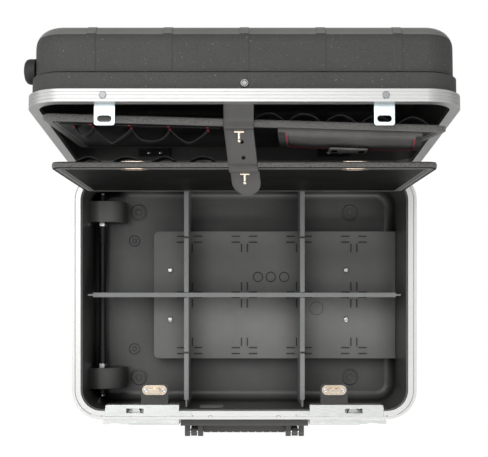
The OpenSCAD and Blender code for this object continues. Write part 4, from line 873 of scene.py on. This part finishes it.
class CASE_OT_tool_loops(ToolCasePieces, bpy.types.Operator):
    """Make the slack elastic loops and the red tacks that hold them"""

    bl_idname = "case.tool_loops"
    bl_label = "Tool loops"

    def execute(self, context):
        top, back_top = UPPER_TOP - 50 * MM, UPPER_TOP - 10 * MM
        path = []
        for x0, x1, (deep, sag) in zip(UPPER_FRONT_TACKS, UPPER_FRONT_TACKS[1:], UPPER_FRONT_LOOPS):
            path.extend(slack_loop(x0, x1, sizes().loop_depth * deep, sag)[1 if path else 0:])
        front = elastic_band(path, top - LOOP_H, top, on_upper, -1)
        backs = self.row(5, 28, 41, 9, 0.02, back_top, on_upper)
        piece("upper_loops", joined([front, *backs]), "elastic", "upper_pallet", 50,
              ["upper_tool_loops"])
        lower_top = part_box("lower_tool_loops")[1].z - LOWER_AXIS.z
        lows = self.row(4, -184, 45, 8.5, 0.03, lower_top, on_lower)
        piece("lower_loops", joined(lows), "elastic", "lower_pallet", 50, ["lower_tool_loops"])
        seam_z = UPPER_TOP - 24 * MM
        tacks = [tack(x, top + 1 * MM) for x in UPPER_FRONT_TACKS]
        tacks += [tack(x, top - 18 * MM) for x in UPPER_FRONT_TACKS]
        tacks += [tack(x, seam_z) for x in UPPER_FRONT_TACKS[1:]]
        piece("loop_tacks", joined(tacks), "red", "upper_pallet")
        line = [on_upper((x * MM, -HALF_T - 0.9 * MM, seam_z - 3 * MM)) for x in range(-212, -20, 8)]
        piece("upper_front_tape", swept(line, circle(0.6 * MM, 6)), "pouch_edge", "upper_pallet")
        return {"FINISHED"}

    def row(self, count, first, pitch, depth, sag, top, placing):
        """Row of equal loops on the back of a board, which lean to either side in turn."""
        bands = []
        for i in range(count):
            x = (first + pitch * i) * MM
            path = slack_loop(x - LOOP_HALF_W, x + LOOP_HALF_W, depth * MM, sag * (-1) ** i)
            bands.append(elastic_band(path, top - LOOP_H, top, placing, 1))
        return bands


# Side views of the pouch in millimetres: how far its cloth stands off the board, and its height
# from the flap's fold
FLAP_SIDE = [(0.4, 0.2), (3.6, 0.3), (6.4, -0.8), (8.2, -5.0), (10.2, -20.0), (13.2, -44.0), (15.8, -66.0),
             (16.2, -78.0)]
POCKET_SIDE = [(0.4, -3.0), (4.5, -4.0), (12.0, -44.0), (14.8, -70.0), (14.6, -90.0), (9.0, -140.0),
               (1.0, -160.0)]
POUCH_X = 120 * MM
POUCH_TOP = UPPER_TOP - 10 * MM


class PouchSheet:
    """Cloth of the pouch that follows a side view, with rounded lower corners."""

    def __init__(self, side, half_w, corner, spread_low, drift):
        self.path = smooth_path([Vector((out * MM, up * MM, 0)) for out, up in side], 5)
        self.runs = run_lengths(self.path)
        self.half_w, self.corner = half_w * MM, corner * MM
        self.spread_low, self.drift = spread_low * MM, drift * MM

    def at(self, across, share, lift):
        """Point at -1 to 1 across and 0 to 1 down the cloth, lifted off it."""
        run = share * self.runs[-1]
        i = max(k for k in range(len(self.path) - 1) if self.runs[k] <= run + 1e-9)
        part = (run - self.runs[i]) / (self.runs[i + 1] - self.runs[i])
        spot = self.path[i].lerp(self.path[i + 1], part)
        way = (self.path[i + 1] - self.path[i]).normalized()
        rise = self.runs[-1] - run
        cut = 0.0
        if rise < self.corner:
            cut = self.corner - math.sqrt(max(0.0, self.corner ** 2 - (self.corner - rise) ** 2))
        x = POUCH_X + self.drift * share + across * (self.half_w + self.spread_low * share - cut)
        soft = 1 - 0.10 * abs(across) ** 6 - 0.05 * (1 - across) * share
        crease = 0.45 * MM * math.sin(x * 95) * math.sin(math.pi * share) * (1 - across ** 4)
        out = HALF_T + 0.2 * MM + spot.x * soft + crease - way.y * lift
        return on_upper((x, -out, POUCH_TOP + spot.y + way.x * lift))

    def shape(self, thick, solid=False, columns=34, rows=30):
        """Cloth of some thickness; a solid one is filled down to the board."""
        spots = [(-1 + 2 * i / columns, j / rows) for j in range(rows + 1) for i in range(columns + 1)]
        front, back = ([self.at(*spot, lift) for spot in spots] for lift in (thick, 0))
        if solid:
            flat = [UPPER_PLACE.inverted() @ spot for spot in back]
            back = [on_upper((spot.x, -HALF_T - 0.3 * MM, spot.z)) for spot in flat]
        return front + back, sheet_faces(columns, rows)


class CASE_OT_pouch(ToolCasePieces, bpy.types.Operator):
    """Sew the document pouch: pocket, flap, edge tape, red seams and a plain clasp"""

    bl_idname = "case.pouch"
    bl_label = "Document pouch"

    def execute(self, context):
        pocket = PouchSheet(POCKET_SIDE, 77, 8, 1, 5)
        piece("pouch_pocket", pocket.shape(1.0 * MM, True), "pouch", "upper_pallet", 50,
              ["document_pouch"])
        flap = PouchSheet(FLAP_SIDE, 82, 9, 2.5, 7.5)
        piece("pouch_flap", flap.shape(1.6 * MM), "pouch", "upper_pallet", 50)
        self.seams(flap)
        self.clasp(flap)
        return {"FINISHED"}

    def seams(self, flap):
        """Red and dark seams round the flap, and the tape outside them."""
        left, right, low = -0.885, 0.895, 0.865
        corner = [(0.0, -0.13), (0.012, -0.08), (0.045, -0.035), (0.09, -0.010), (0.146, 0.0)]
        path = [(left, 0.05 + 0.67 * k / 10) for k in range(11)]
        path += [(left + a, low + b) for a, b in corner]
        path += [(left + 0.16 + (right - left - 0.32) * k / 24, low) for k in range(25)]
        path += [(right - a, low + b) for a, b in corner[::-1]]
        path += [(right, 0.72 - 0.65 * k / 10) for k in range(11)]
        for name, look, step, lift, radius in (("red", "red", 0.0, 2.0, 0.75),
                                               ("dark", "dark_thread", 0.028, 1.8, 0.35)):
            line = []
            for a, b in path:
                inward = step if abs(a) > 0.8 else 0
                line.append(flap.at(a + (inward if a < 0 else -inward), b - step, lift * MM))
            row = stitched(line, sizes().stitch_gap, sizes().thread * radius)
            piece(f"pouch_{name}_seam", row, look, "upper_pallet")
        tapes = []
        rows = 24
        for inner, outer in ((left - 0.02, -0.995), (right + 0.015, 0.995)):
            ring = [(inner, 1.5), (inner, 2.0), (outer, 2.0), (outer, 1.5)]
            points = [flap.at(across, 0.06 + 0.90 * k / rows, lift * MM)
                      for k in range(rows + 1) for across, lift in ring]
            tapes.append((points, ring_faces(rows + 1, 4)))
        piece("pouch_edge_tapes", joined(tapes), "pouch_edge", "upper_pallet", 30)

    def clasp(self, flap):
        """Bright plate with its two windows as dark plates, painted shade for the openings, and the stitched
        patch above it.
        """
        middle = UPPER_PLACE.inverted() @ flap.at(0.0, 0.80, 1.6 * MM)
        width, tilt = 45.5, 11
        facing = at(*(middle + Vector((-2.5 * MM, -0.3 * MM, 0)))) @ turned(90 - tilt) @ turned(-1.5, "Z")

        def on_clasp(shape, x, lift):
            return put(moved(shape, facing @ at(x * MM, 0, lift * MM)), on_upper)

        face = on_clasp(plate(width, 18, 1.2, 4, 2.2, 0.5), 0, -1.2)
        piece("pouch_clasp", face, "clasp", "upper_pallet", 40)
        # Painted shade: dark plates stand for the shade inside the clasp's two openings
        window = plate(7, 9, 1, 3, 0.5, 0.15)
        windows = [on_clasp(window, side * (width / 2 - 6.5), 0.65) for side in (-1, 1)]
        piece("pouch_clasp_windows", joined(windows), "void", "upper_pallet")
        rows = []
        count = 15
        for level in (0.58, 0.63):
            for k in range(count):
                across = -0.29 + 0.54 * k / (count - 1)
                start, end = ((across, level), (across + 0.01, level + 0.045))
                rows.append(stitch(flap.at(*start, 1.7 * MM), flap.at(*end, 1.7 * MM), 0.7 * MM))
        piece("pouch_clasp_stitches", joined(rows), "void", "upper_pallet")


# Height of each stud up its board, and how far across the strap meets it
UPPER_STUD = UPPER_TOP - 12 * MM
LOWER_STUD = LOWER_TOP - 10.3 * MM
STRAP_AT_UPPER, STRAP_AT_LOWER = -6 * MM, 0.6 * MM
# Half section of the strap: share of its half width, and of its half thickness
STRAP_SECTION = [(-1, 0.35), (-0.97, 0.8), (-0.9, 1), (-0.6, 1), (-0.3, 1), (0, 1), (0.3, 1), (0.6, 1),
                 (0.9, 1), (0.97, 0.8), (1, 0.35)]


def strap_route():
    """Middle line of the strap from the lid's front wall over both boards, and where it bends."""
    thick = sizes().strap_t
    face = HALF_T + 1.6 * MM + thick / 2
    mate = RIM + 0.4 * MM
    lid = [OPENING @ Vector((0, WALL + thick / 2 + 0.2 * MM, mate + rise * MM)) for rise in (34, 22, 10, 2)]
    upper = [(2.5 * MM, UPPER_TOP + 3.7 * MM), (-6.2 * MM, UPPER_TOP + 1.0 * MM)]
    upper += [(-face, UPPER_TOP - drop * MM) for drop in (9, 15)]
    lower = [(4.5 * MM, LOWER_TOP + 3.05 * MM), (-2.5 * MM, LOWER_TOP + 2.55 * MM)]
    lower += [(-face - 1 * MM, LOWER_TOP - 0.4 * MM)]
    lower += [(-face, LOWER_STUD + rise * MM) for rise in (3, -3)]
    route = lid + [UPPER_PLACE @ Vector((0, *spot)) for spot in upper]
    bend = len(route) - 1
    route += [LOWER_PLACE @ Vector((0, *spot)) for spot in lower]
    end = route[-1]
    route += [end + Vector((0, -a * MM, -b * MM)) for a, b in ((8, 4.7), (14, 8.3), (20, 11.8), (26.2, 15.5))]
    return route, bend


class CASE_OT_strap(ToolCasePieces, bpy.types.Operator):
    """Lay the retaining strap over both boards, with its holes and slits"""

    bl_idname = "case.strap"
    bl_label = "Retaining strap"

    def execute(self, context):
        steps = 8
        route, bend = strap_route()
        path = smooth_path(route, steps)
        runs = run_lengths(path)
        total, straight = runs[-1], runs[bend * steps]
        half_w, half_t = sizes().strap_w / 2, sizes().strap_t / 2
        points = []
        for i, spot in enumerate(path):
            left = total - runs[i]
            width = half_w
            if left < half_w:
                width = max(2.5 * MM, math.sqrt(half_w ** 2 - (half_w - left) ** 2))
            x = -6.5 * MM + 10.5 * MM * max(0.0, runs[i] - straight) / (total - straight)
            along = (path[min(i + 1, len(path) - 1)] - path[max(i - 1, 0)]).normalized()
            normal = Vector((0, -along.z, along.y))
            for side in (1, -1):
                for share, thick in STRAP_SECTION[::side]:
                    middle = Vector((x + share * width, spot.y, spot.z))
                    points.append(middle + normal * half_t * thick * side)
        shape = points, ring_faces(len(path), 2 * len(STRAP_SECTION))
        strap = piece("strap", shape, "strap", "lid", 35, ["retaining_strap"])
        self.punch(strap)
        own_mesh(strap)
        self.lips()
        return {"FINISHED"}

    def punch(self, strap):
        """Cut the round holes and the two slits for the studs."""
        upper_stud = UPPER_PLACE @ Vector((0, 0, UPPER_STUD))
        lower_stud = LOWER_PLACE @ Vector((0, 0, LOWER_STUD))
        bolt = OPENING @ Vector((0, WALL, RIM + 10 * MM))
        between = upper_stud.lerp(lower_stud, 0.5)
        hole = turned_part([(2.35, -20), (2.35, 20)], 24)
        slit = plate(8, 5, 2.2, 5, 30, 0.01, 1)
        holes = [(-5.6 * MM, bolt.y, bolt.z), (-2.9 * MM, between.y + 3 * MM, between.z + 6 * MM),
                 (-1.0 * MM, between.y - 13 * MM, between.z - 6 * MM)]
        slits = [(STRAP_AT_UPPER, upper_stud.y, upper_stud.z), (STRAP_AT_LOWER, lower_stud.y, lower_stud.z)]
        cutters = [moved(hole, at(*spot) @ turned(20)) for spot in holes]
        pierce(strap, cutters + [moved(slit, at(*spot) @ turned(90)) for spot in slits])

    def lips(self):
        """Raised lip over each stud where the strap is pulled on."""
        face = HALF_T + 1.8 * MM + sizes().strap_t
        for name, place_matrix, x, z in (("upper", UPPER_PLACE, STRAP_AT_UPPER, UPPER_STUD),
                                         ("lower", LOWER_PLACE, STRAP_AT_LOWER, LOWER_STUD)):
            arc = []
            for k in range(17):
                angle = math.radians(20 + 140 * k / 16)
                spot = (x + 10 * MM * math.cos(angle), -face, z - 1 * MM + 7 * MM * math.sin(angle))
                arc.append(place_matrix @ Vector(spot))
            piece(name + "_strap_lip", swept(arc, circle(0.7 * MM, 8), Vector((0, -1, 0))), "strap",
                  name + "_pallet", 60)


# Profiles of the small round heads, as (radius, height) in millimetres
RIVET_DOME = [(4.2, -0.05), (4.2, 0.25), (3.6, 0.9), (2.2, 1.2), (1.5, 1.15), (1.3, 0.5)]
RIVET_CORE = [(1.25, 0.3), (1.25, 0.75), (0.6, 1.0)]
BOLT_HEAD = [(5.0, 0), (5.0, 0.6), (4.3, 1.6), (3.0, 2.2), (2.6, 2.2), (1.6, 1.2)]
BRACKET_RIVET = [(2.4, 0), (2.3, 0.5), (1.4, 1.0), (0.5, 1.15)]
FRAME_RIVET_X = 156.2 * MM


class CASE_OT_hardware(ToolCasePieces, bpy.types.Operator):
    """Add screw heads with cross slots, rivet domes, the strap bolt and the pallet rivets"""

    bl_idname = "case.hardware"
    bl_label = "Small hardware"

    def execute(self, context):
        screws = [moved(self.cross_head(radius, rise), at(*spot))
                  for *spot, radius, rise in self.screw_spots()]
        piece("cross_screws", joined(screws), "steel", "base", 30, ["base_screws"])
        frame_face = OPENING @ at(0, FRONT, RIM + 7.65 * MM)
        for name, look, profile, steps in (("frame_rivets", "rivet", RIVET_DOME, 28),
                                           ("rivet_mandrels", "steel", RIVET_CORE, 16)):
            head = turned_part(profile, steps)
            heads = [moved(head, frame_face @ at(side * FRAME_RIVET_X, 0, 0) @ turned(90))
                     for side in (-1, 1)]
            piece(name, joined(heads), look, "lid", 30)
        bolt_place = OPENING @ at(0, FRONT + 4 * MM, RIM + 22 * MM) @ turned(90)
        piece("strap_bolt_head", moved(turned_part(BOLT_HEAD, 28), bolt_place), "bolt", "lid", 30)
        self.pallet_rivets()
        return {"FINISHED"}

    def screw_spots(self):
        """Places, radius and rise of the screws: four on the cover, four on the turn lock plates."""
        plate_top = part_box("turnlock_plates")[1].z
        turn_y = JOINTS["left_knob_turn"]["pos_m"][1]
        spots = [(x * MM, y * MM, COVER_TOP, 4.2 * MM, 2.0 * MM)
                 for x in (-113.2, 155.3) for y in (-37.6, 37.6)]
        spots += [(side * EYELET_X + step * 12.8 * MM, turn_y, plate_top, 2.8 * MM, 1.3 * MM)
                  for side in (-1, 1) for step in (-1, 1)]
        return spots

    def cross_head(self, radius, rise):
        """Pan head with a cross-shaped recess."""
        arm, slot, land = 0.62 * radius, 0.17 * radius, 0.74
        cross = []
        for quarter in range(4):
            turn = Matrix.Rotation(math.radians(90 * quarter), 2)
            cross += [turn @ Vector(spot) for spot in ((arm, -slot), (arm, slot), (slot, slot))]
        angles = [math.atan2(y, x) for x, y in cross]
        rim = [(land * radius * math.cos(angle), land * radius * math.sin(angle)) for angle in angles]
        levels = [(rim, share / land, level * rise)
                  for share, level in ((0.96, 0.0), (1.0, 0.18), (0.97, 0.55), (0.88, 0.85))]
        levels += [(rim, 1, rise), (cross, 1, rise), (cross, 0.8, 0.45 * rise)]
        points = [Vector((x * share, y * share, level)) for ring, share, level in levels for x, y in ring]
        return points, ring_faces(len(levels), len(cross))

    def pallet_rivets(self):
        """Bright rivets that hold the pallet brackets to the back walls."""
        low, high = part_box("lower_pallet_brackets")
        head = turned_part(BRACKET_RIVET, 16)
        for body, wall, y, z in (("base", Matrix.Identity(4), high.y - 2.0 * MM, low.z + 6 * MM),
                                 ("lid", OPENING, 163.3 * MM, RIM + 18 * MM)):
            heads = [moved(head, wall @ at((side * 126 + step) * MM, y, z) @ turned(90))
                     for side in (-1, 1) for step in (-8, 8)]
            piece(body + "_bracket_rivets", joined(heads), "steel", body, 30)


def raised_ring(x, y, radius, level, width, height):
    """Low raised ring, from sizes in millimetres but for the level in metres."""
    path = [Vector((x * MM + a, y * MM + b, level)) for a, b in circle(radius * MM, 40)]
    wide, tall = width * MM, height * MM
    section = [(-wide, -0.2 * MM), (-0.6 * wide, 0.7 * tall), (0, tall), (0.6 * wide, 0.7 * tall),
               (wide, -0.2 * MM)]
    return swept(path, section, closed=True)


class CASE_OT_mouldings(ToolCasePieces, bpy.types.Operator):
    """Add the raised rings of the floor, the blank label and the marks on the frame"""

    bl_idname = "case.mouldings"
    bl_label = "Mouldings and label"

    def execute(self, context):
        rings = []
        for x in (-164, 164):
            for y in (-127.7, 127.7):
                rings.append(raised_ring(x, y, 11, FLOOR, 2.0, 0.9))
                rings.append(raised_ring(x, y, 4.5, FLOOR, 1.6, 0.5))
        for y in (-84, 84):
            rings.append(raised_ring(-171, y, 8, FLOOR, 0.9, 0.6))
            rings.append(raised_ring(-171, y, 3, FLOOR, 0.9, 0.4))
        piece("floor_rings", joined(rings), "base_shell", "base", 60)
        cover_ring = raised_ring(110, -20.5, 10, COVER_TOP, 0.4, 0.12)
        piece("cover_ring", cover_ring, "inner", "base", 60)
        wall = at(-48 * MM, FRONT + 14 * MM, RIM - 48 * MM) @ turned(-90)
        piece("blank_label", moved(plate(34, 38, 4, 6, 0.4, 0.1), wall), "label", "base", 30)
        marks = []
        # Dark arches drawn for the notches in the frame: painted shade of their cuts
        for x in (-48.5, 48.5):
            arch = [Vector((x * MM + a * MM, FRONT + b * MM, RIM + 0.05 * MM))
                    for a, b in ((-2.6, 2.6), (-2.6, 4.6), (-1.6, 5.4), (1.6, 5.4), (2.6, 4.6), (2.6, 2.6))]
            marks.append(swept(arch, circle(0.35 * MM, 6)))
        dot = turned_part([(0.9, -0.1), (0.9, 0.08), (0.5, 0.1)], 12)
        marks += [moved(dot, at(x * MM, FRONT + 5.0 * MM, RIM)) for x in (-203, -73.5, 73.5, 203)]
        piece("frame_marks", joined(marks), "rivet", "base", 60)
        self.frame_lines()
        return {"FINISHED"}

    def frame_lines(self):
        """Fine dark line along the top of the base frame, painted shade standing for a groove."""
        inward, corner = 4.2 * MM, 37.8 * MM
        outline = rounded_outline(2 * (CASE_HALF_W - inward), 2 * (-FRONT - inward), corner, 16)
        path = [Vector((x, y, RIM)) for x, y in outline if y > FRONT + 6 * MM]
        start = max(range(len(path)), key=lambda i: (path[i] - path[i - 1]).length)
        half, low, high = 0.22 * MM, -0.1 * MM, 0.03 * MM
        section = [(-half, low), (-half, high), (half, high), (half, low)]
        piece("frame_line", swept(path[start:] + path[:start], section), "rivet", "base", 30)


# Camera of the photograph: its size and middle in pixels, its scale at the rim, its height above it
PICTURE_W, PICTURE_H = 488, 457
MIDDLE_X, MIDDLE_Y = 244.4, 294.9
PIXELS_PER_M = 703.3
CAMERA_RISE = 1.580
FLOOR_HALF = 6.0
WHITE = (1, 1, 1, 1)


class CASE_OT_stage(ToolCasePieces, bpy.types.Operator):
    """Set the floor, the lights and the camera"""

    bl_idname = "case.stage"
    bl_label = "Stage"

    def execute(self, context):
        scene = context.scene
        scene.view_settings.view_transform = "Standard"
        self.floor()
        self.world(scene)
        self.lamp("overhead_light", (-0.5, 0.9, 2.6), (0, 0.05, 0.1), 1.8, 21)
        self.lamp("front_light", (0.5, -1.9, 1.9), (0, 0.05, 0.15), 1.4, 24)
        self.lamp("left_light", (-2.1, 0.1, 1.3), (0, 0.1, 0.2), 1.2, 9)
        data = bpy.data.cameras.new("camera")
        data.sensor_width = 36
        data.lens = PIXELS_PER_M * CAMERA_RISE * data.sensor_width / PICTURE_W
        data.shift_x = -(MIDDLE_X - PICTURE_W / 2) / PICTURE_W
        data.shift_y = (MIDDLE_Y - PICTURE_H / 2) / PICTURE_W
        data.clip_end = 20
        scene.camera = link(bpy.data.objects.new("camera", data))
        scene.camera.location = (0, 0, RIM + CAMERA_RISE)
        return {"FINISHED"}

    def floor(self):
        """Pale floor that shows white and keeps a soft shadow."""
        corners = [(x * FLOOR_HALF, y * FLOOR_HALF, 0) for x, y in ((-1, -1), (1, -1), (1, 1), (-1, 1))]
        mesh = bpy.data.meshes.new("floor")
        mesh.from_pydata(corners, [], [(0, 1, 2, 3)])
        floor = link(bpy.data.objects.new("floor", mesh))
        material = bpy.data.materials.new("pale_floor")
        material.use_nodes = True
        tree = material.node_tree
        tree.nodes.clear()
        output = add(tree, "OutputMaterial")
        matt = add(tree, "BsdfDiffuse", {"Color": (0.86, 0.86, 0.86, 1)})
        glow = add(tree, "Emission", {"Color": WHITE, "Strength": 1.0})
        seen = math_node(tree, "MULTIPLY", add(tree, "LightPath").outputs["Is Camera Ray"], 1.0)
        blend = add(tree, "MixShader", {0: seen, 1: matt.outputs[0], 2: glow.outputs[0]})
        tree.links.new(blend.outputs[0], output.inputs[0])
        mesh.materials.append(material)

    def world(self, scene):
        """White surroundings for the camera and for reflections, dimmer for the light they give."""
        scene.world = bpy.data.worlds.new("studio")
        scene.world.use_nodes = True
        tree = scene.world.node_tree
        tree.nodes.clear()
        output = add(tree, "OutputWorld")
        ray = add(tree, "LightPath").outputs
        seen = math_node(tree, "MAXIMUM", ray["Is Camera Ray"], ray["Is Transmission Ray"])
        gloss = math_node(tree, "MULTIPLY", ray["Is Glossy Ray"], 0.70)
        strength = math_node(tree, "MAXIMUM", math_node(tree, "MAXIMUM", seen, gloss), 0.20)
        back = add(tree, "Background", {"Color": WHITE, "Strength": strength})
        tree.links.new(back.outputs[0], output.inputs[0])

    def lamp(self, name, spot, aim, size, power):
        """Square soft light that looks at a point."""
        data = bpy.data.lights.new(name, "AREA")
        data.size = size
        data.energy = power
        lamp = link(bpy.data.objects.new(name, data))
        lamp.location = spot
        lamp.rotation_euler = (Vector(aim) - Vector(spot)).to_track_quat("-Z", "Y").to_euler()


OPERATORS = [CASE_OT_stage, CASE_OT_finishes, CASE_OT_boards, CASE_OT_tool_loops, CASE_OT_pouch,
             CASE_OT_strap, CASE_OT_hardware, CASE_OT_mouldings]


class CASE_PT_panel(bpy.types.Panel):
    """Panel that lists the steps of the tool case"""

    bl_idname = "CASE_PT_panel"
    bl_label = "Tool Case"
    bl_space_type = "VIEW_3D"
    bl_region_type = "UI"
    bl_category = "Tool Case"

    def draw(self, context):
        for operator in OPERATORS:
            self.layout.operator(operator.bl_idname)
        for group in (context.scene.case_sizes, context.scene.case_colours):
            box = self.layout.box()
            for name in group.__annotations__:
                box.prop(group, name)


CLASSES = [CaseSizes, CaseColours, *OPERATORS, CASE_PT_panel]


def register():
    for item in CLASSES:
        bpy.utils.register_class(item)
    bpy.types.Scene.case_sizes = PointerProperty(type=CaseSizes)
    bpy.types.Scene.case_colours = PointerProperty(type=CaseColours)


def unregister():
    del bpy.types.Scene.case_sizes
    del bpy.types.Scene.case_colours
    for item in reversed(CLASSES):
        bpy.utils.unregister_class(item)


def main():
    register()
    for operator in OPERATORS:
        group, name = operator.bl_idname.split(".")
        getattr(getattr(bpy.ops, group), name)()


if __name__ == "__main__":
    main()
